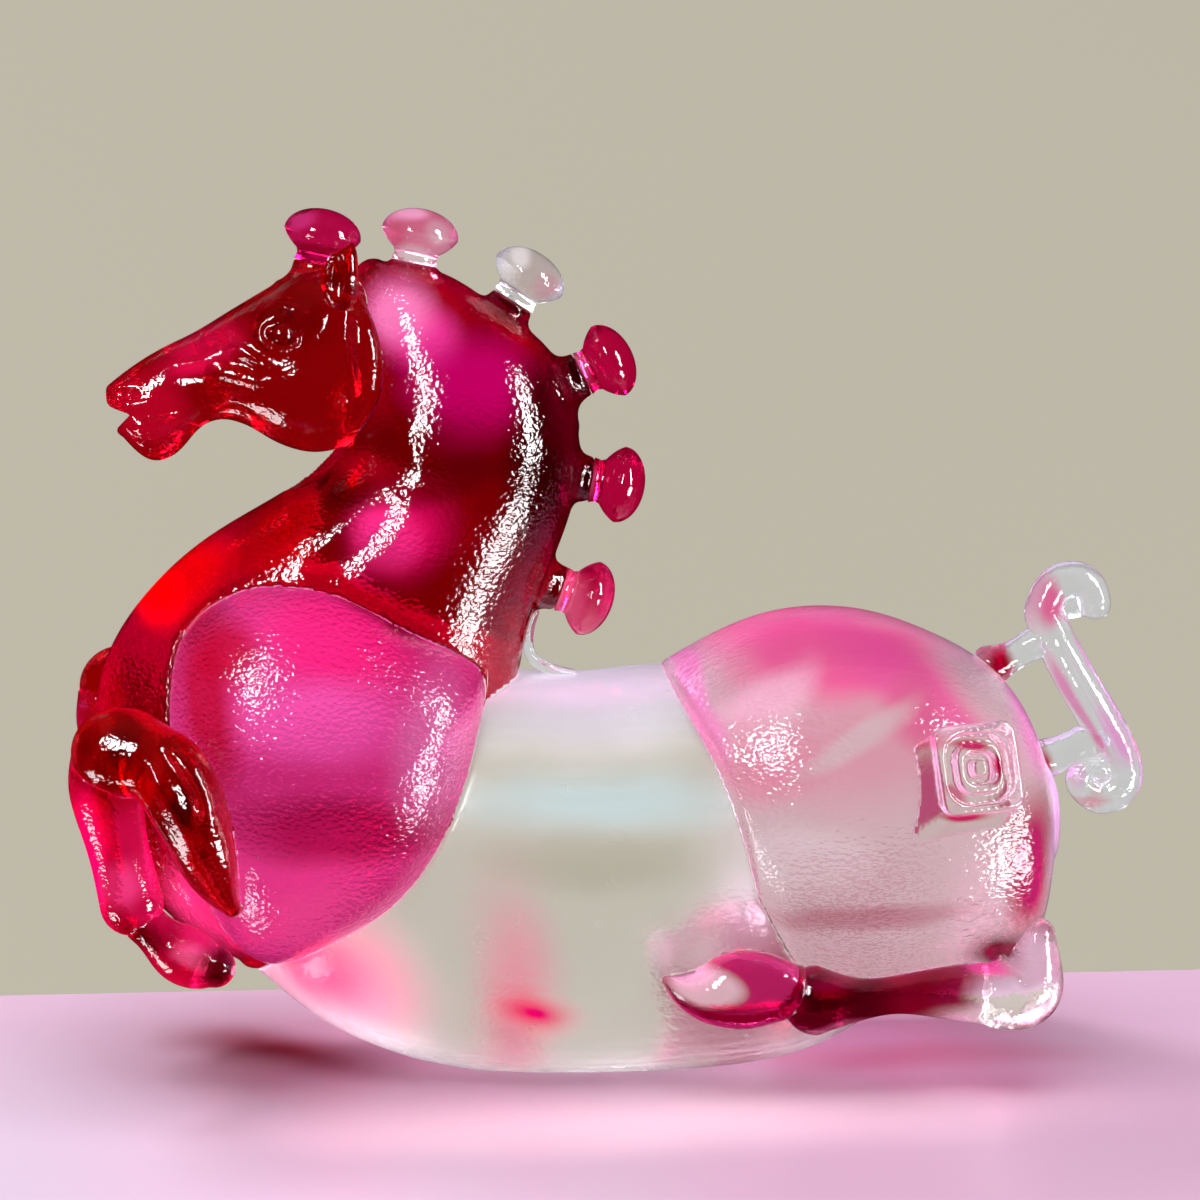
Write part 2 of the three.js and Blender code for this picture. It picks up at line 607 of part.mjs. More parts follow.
// Tail: a bar with a scroll at each end, carried off the rump on two pegs
function tailForm(grow = 0) {
  const paths = [upperCurlPath, tailBarPath, lowerCurlPath];
  const strands = paths.map((path) => limb(path, { half: tailWidth / 2, grow }));
  const webs = curlWebs.map(({ at, r, half }) => solidOf(ball(1, at, [r + grow, half + grow, r + grow])));
  return join(...strands, ...webs);
}

const roundTail = tailForm(seam);
addMesh('tail_scroll', geometryOf(tailForm()), clear);
for (const [name, path] of [['tail_upper_peg', upperPegPath], ['tail_lower_peg', lowerPegPath]]) {
  const peg = limb(path.map((s) => ({ ...s, half: s.r })), { rings: 5 });
  addMesh(name, geometryOf(cut(peg, roundQuarters, roundTail)), clear);
}

// A raised seal on the left haunch: a square block with a rim, a channel and a plain island
function roundedSquare(side, corner) {
  const half = side / 2;
  const shape = new THREE.Shape();
  shape.absarc(half - corner, half - corner, corner, 0, Math.PI / 2);
  shape.absarc(corner - half, half - corner, corner, Math.PI / 2, Math.PI);
  shape.absarc(corner - half, corner - half, corner, Math.PI, 1.5 * Math.PI);
  shape.absarc(half - corner, corner - half, corner, 1.5 * Math.PI, 2 * Math.PI);
  return shape;
}

function sealSolid() {
  const { side, corner, height, rim, channel, island, depth } = seal;
  const plate = (size, thickness, lift) => {
    const shape = roundedSquare(size, corner * (size / side));
    const solid = { depth: thickness, bevelEnabled: false, curveSegments: seal.cornerFacets };
    return solidOf(new THREE.ExtrudeGeometry(shape, solid).translate(0, 0, lift));
  };
  // A square channel between two sizes, open at the face.
  const floor = height - depth;
  const channelCut = (outer, inner) => plate(outer, height, floor).subtract(plate(inner, height, floor));
  const channelOuter = side - 2 * rim;
  const channelInner = channelOuter - 2 * channel;
  const moatOuter = channelInner - 2 * rim;
  const cuts = channelCut(channelOuter, channelInner).add(channelCut(moatOuter, island));
  return plate(side, height, 0).subtract(cuts);
}

// A frame on the haunch with z out of the glass.
function sealMatrix() {
  const [turn, tip, roll] = [seal.turn, seal.tip, seal.roll].map(THREE.MathUtils.degToRad);
  const across = new THREE.Vector3(Math.cos(turn), Math.sin(turn), 0);
  const out = new THREE.Vector3(Math.sin(turn), -Math.cos(turn), Math.tan(tip)).normalize();
  const up = out.clone().cross(across);
  return new THREE.Matrix4().makeBasis(across, up, out)
    .multiply(new THREE.Matrix4().makeRotationZ(roll)).setPosition(...beside(seal.at, quarters.halfWidth));
}

const sealBlock = solidOf(geometryOf(sealSolid()).applyMatrix4(sealMatrix()));
addMesh('rump_seal', geometryOf(cut(sealBlock, roundQuarters)), rosyClear);

// The frame's origin is under the middle of the figure's length.
const extent = new THREE.Box3().setFromObject(horse);
const middle = extent.getCenter(new THREE.Vector3());
for (const mesh of horse.children) {
  mesh.geometry.translate(-middle.x, 0, 0);
}
horse.updateMatrixWorld(true);

export default horse;
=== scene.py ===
import math

import bpy
import numpy as np
import openvdb
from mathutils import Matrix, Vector


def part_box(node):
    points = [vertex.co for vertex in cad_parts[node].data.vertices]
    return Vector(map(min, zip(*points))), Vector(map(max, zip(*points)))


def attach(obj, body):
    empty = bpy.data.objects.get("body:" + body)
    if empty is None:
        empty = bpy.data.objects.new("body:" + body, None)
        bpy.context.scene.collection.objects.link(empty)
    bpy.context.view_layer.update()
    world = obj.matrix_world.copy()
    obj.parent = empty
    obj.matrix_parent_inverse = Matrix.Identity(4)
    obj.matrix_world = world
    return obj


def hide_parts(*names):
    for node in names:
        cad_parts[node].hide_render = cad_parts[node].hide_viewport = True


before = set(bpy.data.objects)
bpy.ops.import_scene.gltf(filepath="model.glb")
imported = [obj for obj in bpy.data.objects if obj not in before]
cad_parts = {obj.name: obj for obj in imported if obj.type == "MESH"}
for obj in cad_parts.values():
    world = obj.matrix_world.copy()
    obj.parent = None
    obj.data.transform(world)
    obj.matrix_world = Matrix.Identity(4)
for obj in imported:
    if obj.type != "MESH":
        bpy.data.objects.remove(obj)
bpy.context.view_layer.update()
print("frame loaded:", len(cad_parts), "nodes")

# Shapes are worked out in the millimetres of the part's source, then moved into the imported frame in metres.
mm = 0.001
reach = 4.0  # how far from a surface its distance is known
fine = 0.34  # grid step of the small pieces
coarse = 0.55  # grid step of the body masses
flanks = {"left": -1, "right": 1}  # which way along y each side of the horse lies

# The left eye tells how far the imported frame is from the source's.
eyeFacts = {"centre": (-53.8, 9.6, 124.0), "radii": (2.1, 2.1, 2.1)}
eyeLow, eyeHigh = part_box("left_eye")
shift = (eyeLow.x + eyeHigh.x) / 2 / mm - eyeFacts["centre"][0]


# camera

cameraFacts = {"aim": (-1.18, 0.0, 78.64), "turn": -4.0, "tilt": 7.0, "distance": 600.0, "lens": 106.9}


def placeCamera(facts):
    turn, tilt = math.radians(facts["turn"]), math.radians(facts["tilt"])
    ahead = Vector((-math.sin(turn) * math.cos(tilt), math.cos(turn) * math.cos(tilt), -math.sin(tilt)))
    data = bpy.data.cameras.new("camera")
    data.lens = facts["lens"]
    data.sensor_width = 36
    data.clip_start = 0.01
    camera = bpy.data.objects.new("camera", data)
    bpy.context.scene.collection.objects.link(camera)
    aim = Vector(facts["aim"]) + Vector((shift, 0, 0))
    camera.location = (aim - ahead * facts["distance"]) * mm
    camera.rotation_euler = ahead.to_track_quat("-Z", "Y").to_euler()
    bpy.context.scene.camera = camera


placeCamera(cameraFacts)


# curves and closed skins

def curveThrough(points, count, closed=False):
    # centripetal spline through points, as count evenly spaced parameters
    points = np.asarray(points, float)
    n = len(points)
    t = np.arange(count) / count * n if closed else np.linspace(0, n - 1, count)
    i = np.minimum(np.floor(t).astype(int), n - 1 if closed else n - 2)
    w = (t - i)[:, None]
    if closed:
        p0, p1, p2, p3 = (points[(i + k) % n] for k in (-1, 0, 1, 2))
    else:
        longer = np.vstack([2 * points[0] - points[1], points, 2 * points[-1] - points[-2]])
        p0, p1, p2, p3 = (longer[i + k] for k in (0, 1, 2, 3))
    gap = [np.sqrt(np.linalg.norm(b - a, axis=1))[:, None] for a, b in ((p0, p1), (p1, p2), (p2, p3))]
    gap = [np.maximum(g, 1e-4) for g in gap]
    d0, d1, d2 = gap
    m1 = ((p1 - p0) / d0 - (p2 - p0) / (d0 + d1) + (p2 - p1) / d1) * d1
    m2 = ((p2 - p1) / d1 - (p3 - p1) / (d1 + d2) + (p3 - p2) / d2) * d1
    c2 = -3 * p1 + 3 * p2 - 2 * m1 - m2
    c3 = 2 * p1 - 2 * p2 + m1 + m2
    return p1 + m1 * w + c2 * w ** 2 + c3 * w ** 3


def smoothThrough(rows, count, knots):
    # natural cubic spline of whole rows, so that all that changes along a form changes without a crease
    rows, gap = np.asarray(rows, float), np.diff(knots)
    n = len(rows)
    system, right = np.eye(n), np.zeros_like(rows)
    slope = np.diff(rows, axis=0) / gap[:, None]
    for k in range(1, n - 1):
        system[k, k - 1:k + 2] = gap[k - 1], 2 * (gap[k - 1] + gap[k]), gap[k]
        right[k] = 6 * (slope[k] - slope[k - 1])
    bend = np.linalg.solve(system, right)
    at = np.linspace(knots[0], knots[-1], count)
    i = np.clip(np.searchsorted(knots, at, side="right") - 1, 0, n - 2)
    h, a, b = gap[i][:, None], (knots[i + 1] - at)[:, None], (at - knots[i])[:, None]
    curved = (bend[i] * a ** 3 + bend[i + 1] * b ** 3) / (6 * h)
    return curved + (rows[i] / h - bend[i] * h / 6) * a + (rows[i + 1] / h - bend[i + 1] * h / 6) * b


def spaced(places):
    # knots that follow how far apart the places are
    steps = np.linalg.norm(np.diff(np.asarray(places, float), axis=0), axis=1)
    return np.concatenate([[0], np.cumsum(np.sqrt(steps))])


def alongCurve(points, count, closed=True):
    # the same spline at even spacing along its length
    dense = curveThrough(points, 40 * count, closed)
    if closed:
        dense = np.vstack([dense, dense[:1]])
    walked = np.concatenate([[0], np.cumsum(np.linalg.norm(np.diff(dense, axis=0), axis=1))])
    stops = np.linspace(0, walked[-1], count + 1)[:-1] if closed else np.linspace(0, walked[-1], count)
    return np.stack([np.interp(stops, walked, dense[:, k]) for k in range(dense.shape[1])], 1)


def facesIn(points, quads):
    # whether the faces of a closed mesh look inwards
    corner = points[quads]
    turned = np.cross(corner[:, 2] - corner[:, 0], corner[:, 3] - corner[:, 1])
    return np.sum(turned * corner.mean(1)) < 0


def skin(rings):
    # points, quads and end triangles of a closed mesh through rings
    rings = np.asarray(rings, float)
    count, sides = rings.shape[:2]
    ends = [rings[0].mean(0), rings[-1].mean(0)]
    points = np.vstack([rings.reshape(-1, 3), ends])
    a = np.arange(sides)
    b = (a + 1) % sides
    rows = np.arange(count - 1)[:, None] * sides
    quads = np.stack([rows + a, rows + b, rows + b + sides, rows + a + sides], -1).reshape(-1, 4)
    last = (count - 1) * sides
    tris = np.vstack([
        np.stack([np.full(sides, count * sides), b, a], 1),
        np.stack([np.full(sides, count * sides + 1), last + a, last + b], 1),
    ])
    if facesIn(points, quads):
        quads, tris = quads[:, ::-1], tris[:, ::-1]
    return points, quads, tris


unitSections = {}


def unitSection(fullness, sides):
    # a rounded square of half width 1, in evenly spaced points
    if (fullness, sides) not in unitSections:
        angle = np.linspace(0, 2 * math.pi, 7201)
        c, n = np.cos(angle), np.sin(angle)
        u, v = (np.sign(a) * np.abs(a) ** (2 / fullness) for a in (c, n))
        walked = np.concatenate([[0], np.cumsum(np.hypot(np.diff(u), np.diff(v)))])
        stops = np.arange(sides) / sides * walked[-1]
        unitSections[fullness, sides] = np.interp(stops, walked, u), np.interp(stops, walked, v)
    return unitSections[fullness, sides]


def section(centre, along, half, fullness, sides, bow=0.0):
    # a rounded section: half lengths along a direction in the side plane and across the horse
    u, v = (a[:, None] for a in unitSection(fullness, sides))
    return centre + along * u + np.array((0, half, 0)) * v + bow * v * v


def railLoft(stations, half, endDome, fullness, least=0.0, rings=90, sides=72, domeRings=7):
    # a mass between a front and a back outline; a station is front x, z, back x, z, width and bow
    rows = np.array([list(s) + [0] * (6 - len(s)) for s in stations], float)
    rows = smoothThrough(rows, rings, spaced((rows[:, 0:2] + rows[:, 2:4]) / 2))
    front, back, widths = rows[:, 0:2], rows[:, 2:4], rows[:, 4:6]
    step = front[rings // 10] + back[rings // 10] - front[0] - back[0]
    across = back[0] - front[0]
    sense = np.sign(step @ np.array((-across[1], across[0])))

    def ring(r, shrink, push):
        f, b, w = front[r], back[r], widths[r]
        along = (b - f) / 2
        length = np.linalg.norm(along)
        ahead = np.array((-along[1], along[0])) / length
        centre = (f + b) / 2 + ahead * push
        along = along * shrink
        width = (least + (half - least) * w[0]) * shrink
        at = np.array((centre[0], 0, centre[1]))
        bow = np.array((ahead[0], 0, ahead[1])) * w[1]
        return section(at, np.array((along[0], 0, along[1])), width, fullness, sides, bow)

    steps = [k / (domeRings + 0.5) * math.pi / 2 for k in range(1, domeRings + 1)]
    made = [ring(0, math.cos(a), -sense * endDome * math.sin(a)) for a in reversed(steps)]
    made += [ring(r, 1, 0) for r in range(rings)]
    made += [ring(rings - 1, math.cos(a), sense * endDome * math.sin(a)) for a in steps]
    return skin(made)


def pillow(edge, middle, inner, outer, fullness, rings=26, sides=110, side=-1):
    # a domed mass on one side of the horse, swelling out from a flat inner face
    outline = alongCurve(edge, sides)
    middle = np.asarray(middle, float)
    made = []
    for k in range(rings):
        angle = k / (rings - 0.4) * math.pi / 2
        shrink = math.cos(angle) ** (2 / fullness)
        rise = math.sin(angle) ** (2 / fullness)
        flat = middle + (outline - middle) * shrink
        y = np.full(sides, side * (inner + (outer - inner) * rise))
        made.append(np.stack([flat[:, 0], y, flat[:, 1]], 1))
    return skin(made)


def limb(stations, half=None, rings=60, sides=40, side=-1):
    # an elliptical limb; a station is x, distance from the middle plane, z, radius in the side plane and half width
    rows = np.array([tuple(s) + ((half if half else s[3]),) if len(s) == 4 else tuple(s) for s in stations], float)
    rows = smoothThrough(rows, rings, spaced(rows[:, :3]))
    path, sizes = rows[:, :3], rows[:, 3:]
    path[:, 1] *= side
    tangent = np.gradient(path, axis=0)
    tangent /= np.linalg.norm(tangent, axis=1)[:, None]

    def ring(r, shrink, push):
        t = tangent[r]
        along = np.array((-t[2], 0, t[0]))
        along = along / np.linalg.norm(along) * sizes[r, 0] * shrink
        return section(path[r] + t * push * sizes[r, 0], along, sizes[r, 1] * shrink, 2, sides)

    ends = [1.45, 1.25, 1.0, 0.75, 0.5, 0.25]  # angles of the rings that round an end off
    made = [ring(0, math.cos(a), -math.sin(a)) for a in ends]
    made += [ring(r, 1, 0) for r in range(rings)]
    made += [ring(rings - 1, math.cos(a), math.sin(a)) for a in reversed(ends)]
    return skin(made)


def turned(profile, seat, sides=56):
    # a body turned about the seat's axis from radius, height rows
    angle = np.arange(sides) / sides * 2 * math.pi
    lean = math.radians(seat["lean"])
    out = np.array((math.sin(lean), 0, math.cos(lean)))
    side = np.array((math.cos(lean), 0, -math.sin(lean)))
    foot = np.array((seat["x"], 0, seat["z"]))
    rings = []
    for radius, height in profile:
        ring = np.outer(np.cos(angle), side) + np.outer(np.sin(angle), (0, 1, 0))
        rings.append(foot + out * height + ring * max(radius, 0.02))
    return skin(rings)


def ellipsoid(centre, radii, sides=40, rings=22):
    angle = (np.arange(rings) + 0.5) / rings * math.pi
    turn = np.arange(sides) / sides * 2 * math.pi
    made = []
    for a in angle:
        ring = np.stack([np.sin(a) * np.cos(turn), np.sin(a) * np.sin(turn), np.full(sides, np.cos(a))], 1)
        made.append(np.asarray(centre) + ring * np.asarray(radii))
    return skin(made)


# distances on grids, for smooth joins, cuts and carved marks

class Distance:
    # signed distance in millimetres on a regular grid, negative inside
    def __init__(self, low, step, values):
        self.low, self.step, self.values = np.asarray(low, float), step, values

    def axes(self):
        return [self.low[k] + self.step * np.arange(self.values.shape[k]) for k in range(3)]

    def onAxes(self, axes):
        # the distance on another regular grid
        v = self.values
        for k in range(3):
            last = self.values.shape[k] - 1
            t = (axes[k] - self.low[k]) / self.step
            i = np.clip(np.floor(t).astype(int), 0, last - 1)
            w = np.clip(t - i, 0, 1).astype(np.float32)
            shape = [1, 1, 1]
            shape[k] = -1
            w = w.reshape(shape)
            v = np.take(v, i, axis=k) * (1 - w) + np.take(v, i + 1, axis=k) * w
            outside = ((t < 0) | (t > last)).reshape(shape)
            v = np.where(outside, np.float32(reach), v)
        return v

    def at(self, points):
        # the distance at scattered points
        t = (points - self.low) / self.step
        top = np.array(self.values.shape) - 1
        outside = ((t < 0) | (t > top)).any(1)
        i = np.clip(np.floor(t).astype(int), 0, top - 1)
        w = np.clip(t - i, 0, 1)
        total = np.zeros(len(points))
        for corner in range(8):
            bits = np.array([corner >> 2 & 1, corner >> 1 & 1, corner & 1])
            share = np.prod(np.where(bits, w, 1 - w), axis=1)
            j = i + bits
            total += share * self.values[j[:, 0], j[:, 1], j[:, 2]]
        return np.where(outside, reach, total)


def distanceOf(shape, step):
    points, quads, tris = shape
    low = np.floor((points.min(0) - reach) / step).astype(int)
    high = np.ceil((points.max(0) + reach) / step).astype(int)
    grid = openvdb.FloatGrid.createLevelSetFromPolygons(
        points.astype(np.float32), triangles=np.ascontiguousarray(tris, np.uint32),
        quads=np.ascontiguousarray(quads, np.uint32),
        transform=openvdb.createLinearTransform(voxelSize=step), halfWidth=reach / step)
    values = np.full(high - low + 1, reach, np.float32)
    grid.copyToArray(values, ijk=tuple(int(k) for k in low))
    return Distance(low * step, step, values)


def blendJoin(a, b, fillet=0.0):
    # union of two distances, with a fillet of about that radius
    if not fillet:
        return np.minimum(a, b)
    h = np.maximum(fillet - np.abs(a - b), 0) / fillet
    return np.minimum(a, b) - h * h * fillet / 4


def blendCut(a, b, fillet=0.0):
    # a without b, with the edge eased by about that radius
    return -blendJoin(-a, b, fillet)


def joined(shapes, step, fillets):
    # several shapes as one distance; fillets gives the radius that each later shape joins with
    parts = [distanceOf(s, step) for s in shapes]
    low = np.floor(np.min([p.low for p in parts], axis=0) / step).astype(int)
    high = np.max([p.low + step * np.array(p.values.shape) for p in parts], axis=0)
    axes = [step * np.arange(low[k], int(math.ceil(high[k] / step)) + 1) for k in range(3)]
    total = parts[0].onAxes(axes)
    for part, fillet in zip(parts[1:], fillets):
        total = blendJoin(total, part.onAxes(axes), fillet)
    return Distance(low * step, step, total.astype(np.float32))


def limbForm(stations, side=-1, half=None):
    return distanceOf(limb(stations, half, side=side), fine)


def sideDistance(axes, line):
    # distance in the side plane from a polyline of x, z points, and how far along it
    x, z = np.meshgrid(axes[0], axes[2], indexing="ij")
    best = np.full(x.shape, 1e3)
    share = np.zeros(x.shape)
    line = np.asarray(line, float)
    for k in range(len(line) - 1):
        a, b = line[k], line[k + 1]
        ab = b - a
        t = np.clip(((x - a[0]) * ab[0] + (z - a[1]) * ab[1]) / (ab @ ab), 0, 1)
        d = np.hypot(x - a[0] - t * ab[0], z - a[1] - t * ab[1])
        share = np.where(d < best, (k + t) / (len(line) - 1), share)
        best = np.minimum(best, d)
    return best, share


def mark(distance, line, depth, width, sides=(-1, 1), fade=True, beyond=0.0):
    # presses a line of the flank in by depth, or raises it if depth is negative
    axes = distance.axes()
    rail = alongCurve(line, 40, closed=False) if len(line) > 2 else np.asarray(line, float)
    d, share = sideDistance(axes, rail)
    amount = depth * np.exp(-(d / width) ** 2)
    if fade:
        amount = amount * np.clip(4 * share, 0, 1) ** 0.7 * np.clip(4 * (1 - share), 0, 1) ** 0.7
    y = axes[1]
    onSide = np.zeros(len(y))
    for side in sides:
        onSide = np.maximum(onSide, np.clip((side * y - beyond) / 1.5, 0, 1))
    distance.values = (distance.values + amount[:, None, :] * onSide[None, :, None]).astype(np.float32)


# cast pieces: a distance becomes a mesh with its own object

pieces = {}  # a piece's name to its object and its distance


def edgesOf(quads):
    # the first and the second ends of the edges
    return (np.concatenate([quads[:, (k + end) % 4] for k in range(4)]) for end in (0, 1))


def largestPart(points, quads):
    # drops crumbs that a cut leaves beside the piece
    first, second = edgesOf(quads)
    label = np.arange(len(points))
    while True:
        low = np.minimum(label[first], label[second])
        new = label.copy()
        np.minimum.at(new, first, low)
        np.minimum.at(new, second, low)
        new = new[new]
        if (new == label).all():
            break
        label = new
    names, counts = np.unique(label, return_counts=True)
    kept = label == names[counts.argmax()]
    index = np.cumsum(kept) - 1
    return points[kept], index[quads[kept[quads[:, 0]]]]


def relaxed(points, quads, passes, strength=0.5):
    # evens a mesh out without shrinking it
    first, second = edgesOf(quads)
    count = np.bincount(first, minlength=len(points)) + np.bincount(second, minlength=len(points))
    for k in range(2 * passes):
        amount = strength if k % 2 == 0 else -strength * 1.04
        mean = np.stack([
            np.bincount(first, points[second, a], len(points)) + np.bincount(second, points[first, a], len(points))
            for a in range(3)], 1) / count[:, None]
        points = points + amount * (mean - points)
    return points


def castPiece(name, distance, passes=3):
    low = np.round(distance.low / distance.step).astype(int)
    grid = openvdb.FloatGrid(reach)
    grid.copyFromArray(np.ascontiguousarray(distance.values), ijk=tuple(int(k) for k in low))
    grid.transform = openvdb.createLinearTransform(voxelSize=distance.step)
    points, _, quads = grid.convertToPolygons(isovalue=0.0, adaptivity=0.0)
    points, quads = largestPart(points.astype(float), quads.astype(int))
    points = relaxed(points, quads, passes)
    if facesIn(points, quads):
        quads = quads[:, ::-1]
    addPiece(name, points, quads, [], distance)


def addPiece(name, points, quads, tris, distance):
    mesh = bpy.data.meshes.new(name)
    faces = [tuple(int(i) for i in q) for q in quads] + [tuple(int(i) for i in t) for t in tris]
    mesh.from_pydata(((points + (shift, 0, 0)) * mm).tolist(), [], faces)
    mesh.update()
    mesh.shade_smooth()
    piece = bpy.data.objects.new(name, mesh)
    bpy.context.scene.collection.objects.link(piece)
    pieces[name] = (piece, distance)


# the horse's masses, from the outlines of the part's source

neckFacts = {
    "half": 24.5, "least": 5.5, "endDome": 3, "fullness": 2.1,
    "stations": [
        (-41.5, 130, -37, 135.4, 0), (-41, 121, -27, 133.4, 0.24), (-42, 112, -17, 126.9, 0.4),
        (-45.5, 104.6, -9.3, 120.2, 0.53), (-53.5, 97.6, -4.8, 107, 0.66), (-66, 90.2, -6.4, 93, 0.76),
        (-77, 80.5, -11.6, 79.5, 0.82), (-83.5, 70.5, -14.4, 69.5, 0.9), (-85.9, 59, -17.6, 56, 1),
        (-85, 47, -23, 44, 1), (-80.5, 35, -31, 35, 0.93), (-72, 24.8, -42, 28, 0.7), (-62.5, 18.8, -54, 22, 0.3),
    ],
}
barrelFacts = {
    "half": 28.5, "endDome": 2, "fullness": 2.3,
    "stations": [
        (-59, 24, -59.5, 17, 0.25), (-50, 45, -50, 9.2, 0.64), (-38, 60, -38, 3, 0.84), (-24, 66.6, -24, -0.6, 0.95),
        (-8, 66.2, -8, -1.7, 1), (4, 67, 4, -1.7, 1), (13, 67.4, 17, -1, 0.98), (20, 66.5, 28, 0.4, 0.93),
        (26, 63, 38, 3.6, 0.82), (31, 58, 47, 8.6, 0.6),
    ],
}
quartersFacts = {
    "half": 36, "endDome": 2.4, "fullness": 2.4,
    "stations": [
        (9.8, 67.4, 23.4, 21.5, 0.86, 4.4), (17, 71.4, 29.6, 14.5, 0.94, 3.2), (26.5, 75.3, 38, 11.6, 1, 1.6),
        (37, 76.8, 46, 11, 1), (46.6, 75.6, 54, 12.2, 0.98), (55, 72.6, 61, 13.6, 0.94), (63.5, 68, 67, 16.4, 0.87),
        (70, 60.5, 71.6, 22.5, 0.73), (73.4, 51.5, 73.6, 33, 0.5),
    ],
}
skullFacts = {
    "half": 11, "endDome": 1, "fullness": 2.4,
    "stations": [
        (-41, 132.6, -39.5, 125, 0.5), (-45, 134.6, -38.5, 115.5, 0.85), (-51.5, 133.7, -41, 107, 1),
        (-56.6, 131, -49, 104.9, 1), (-63, 127.2, -56.8, 107, 0.87), (-68.3, 124, -63, 109.4, 0.72),
        (-73.2, 121.6, -67.8, 108, 0.62), (-77.4, 119.2, -71.3, 104.2, 0.6), (-80.8, 116.8, -76.2, 102.9, 0.56),
        (-82.8, 115.2, -80.6, 106.8, 0.4),
    ],
}
shoulderFacts = {
    "inner": 11, "outer": 34.5, "fullness": 2.5, "middle": (-46, 48),
    "edge": [
        (-73, 66), (-69.5, 77), (-58.5, 84), (-46, 83.8), (-34, 77.6), (-21.5, 68.2), (-21.8, 60), (-23.2, 50),
        (-27, 40), (-34.3, 31), (-45, 24.6), (-57.5, 20.6), (-65.5, 28), (-71.5, 46),
    ],
}
jowlFacts = {"middle": (-48.8, 115.2), "radius": 10.8, "inner": 2, "outer": 12.3, "fullness": 2}
mouthFacts = {"corner": (-78.9, 110.6), "upperSlope": 0.34, "lowerSlope": 1.02}

knobFacts = {"cap": 6.4, "height": 6.6, "stem": 3.8, "stemHeight": 2.5, "rim": 2.4, "waist": 0.3, "seam": 0.15}
flareFacts = {"height": 4.4, "spread": 3.8, "root": 5}
forelockSeat = {"x": -48.2, "z": 135.2, "lean": 12, "spread": 1.8}
maneSeats = [
    {"x": -32.1, "z": 135.2, "lean": 12}, {"x": -15.7, "z": 128.9, "lean": 33}, {"x": -4.2, "z": 116.7, "lean": 64},
    {"x": -2.7, "z": 99, "lean": 100}, {"x": -7.8, "z": 80.6, "lean": 109},
]


def knobRoot(seat):
    # the flare of the crest that a knob stands on
    spread = seat.get("spread", flareFacts["spread"])
    stem, height = knobFacts["stem"], flareFacts["height"]
    profile = [(0, -height - flareFacts["root"]), (stem + spread, -height - flareFacts["root"])]
    for k in range(13):
        angle = k / 12 * math.pi / 2
        profile.append((stem + spread * (1 - math.sin(angle)), -height * math.cos(angle)))
    profile.append((0, 0))
    return turned(profile, seat)


def knobShape(seat):
    # a short stem, a conical underside out to the rim and a domed top
    stem, cap, neck, rim = (knobFacts[k] for k in ("stem", "cap", "stemHeight", "rim"))
    profile = [(0, knobFacts["seam"]), (stem, knobFacts["seam"]), (stem - knobFacts["waist"], neck / 2)]
    for share in np.linspace(0, 1, 9):
        angle = share * math.pi / 2
        swell = 0.6 * share + 0.4 * math.sin(angle)
        climb = 0.75 * share + 0.25 * (1 - math.cos(angle))
        profile.append((stem + (cap - stem) * swell, neck * 0.8 + (rim + neck * 0.2) * climb))
    for angle in np.linspace(0, math.pi / 2, 15)[1:]:
        profile.append((cap * math.cos(angle), neck + rim + (knobFacts["height"] - rim) * math.sin(angle)))
    return turned(profile, seat)


def mouthOpening(axes):
    # distance outside the open wedge between the lips, negative inside it
    x, z = axes[0][:, None, None] - mouthFacts["corner"][0], axes[2][None, None, :] - mouthFacts["corner"][1]
    up, low = mouthFacts["upperSlope"], mouthFacts["lowerSlope"]
    above = (z + up * x) / math.hypot(1, up)
    below = (-z + low * x) / math.hypot(1, low)
    return np.maximum(above, below) + 0 * axes[1][None, :, None]


neckForm = joined([railLoft(**neckFacts)] + [knobRoot(s) for s in maneSeats], coarse, [1.2] * 5)
barrelForm = distanceOf(railLoft(**barrelFacts), coarse)
quartersForm = distanceOf(railLoft(**quartersFacts), coarse)
shoulderForm = {side: distanceOf(pillow(**shoulderFacts, side=sign), coarse) for side, sign in flanks.items()}
print("body masses worked out")


# head

eyeMoundFacts = {"centre": (-54.2, 7.6, 124.0), "radii": (4.6, 3.0, 4.3)}
jawBandFacts = {
    "stations": [
        (-42, 8, 128.5, 1.8), (-41, 9.4, 124.5, 2.5), (-40.3, 9.7, 119.5, 2.8), (-40.5, 9.2, 114.5, 2.5),
        (-42.4, 8, 109.8, 1.8),
    ],
}
nostrilFacts = {"centre": (-79.4, 5.9, 114.0), "radii": (1.9, 1.5, 0.95)}
nostrilRimFacts = {"centre": (-79.2, 4.2, 114.1), "radii": (2.9, 1.6, 1.9)}


def bothSides(centre, radii):
    # an ellipsoid and its mirror image
    return [ellipsoid((centre[0], side * centre[1], centre[2]), radii) for side in (-1, 1)]


def jowl(middle, radius, **facts):
    x, z = middle
    ring = [(x + radius * math.cos(a), z + radius * math.sin(a)) for a in np.arange(8) * math.pi / 4]
    return pillow(ring, middle, **facts)


skull = [railLoft(**skullFacts)] + [jowl(**jowlFacts, side=side) for side in (-1, 1)] + [knobRoot(forelockSeat)]
skull += bothSides(**eyeMoundFacts) + [limb(jawBandFacts["stations"], side=side) for side in (-1, 1)]
headForm = joined(skull, fine, [2.4, 2.4, 1.2, 1.6, 1.6, 1.0, 1.0])


def ringMark(distance, centre, radii, depth, width, part=None, turn=-0.25):
    # a raised or pressed oval on both flanks, or a part of one
    angle = np.linspace(*(part or (0, 2 * math.pi)), 33)
    c, s = math.cos(turn), math.sin(turn)
    u, v = radii[0] * np.cos(angle), radii[1] * np.sin(angle)
    line = np.stack([centre[0] + u * c - v * s, centre[1] + u * s + v * c], 1)
    mark(distance, line, depth, width, fade=part is not None, beyond=2.0)


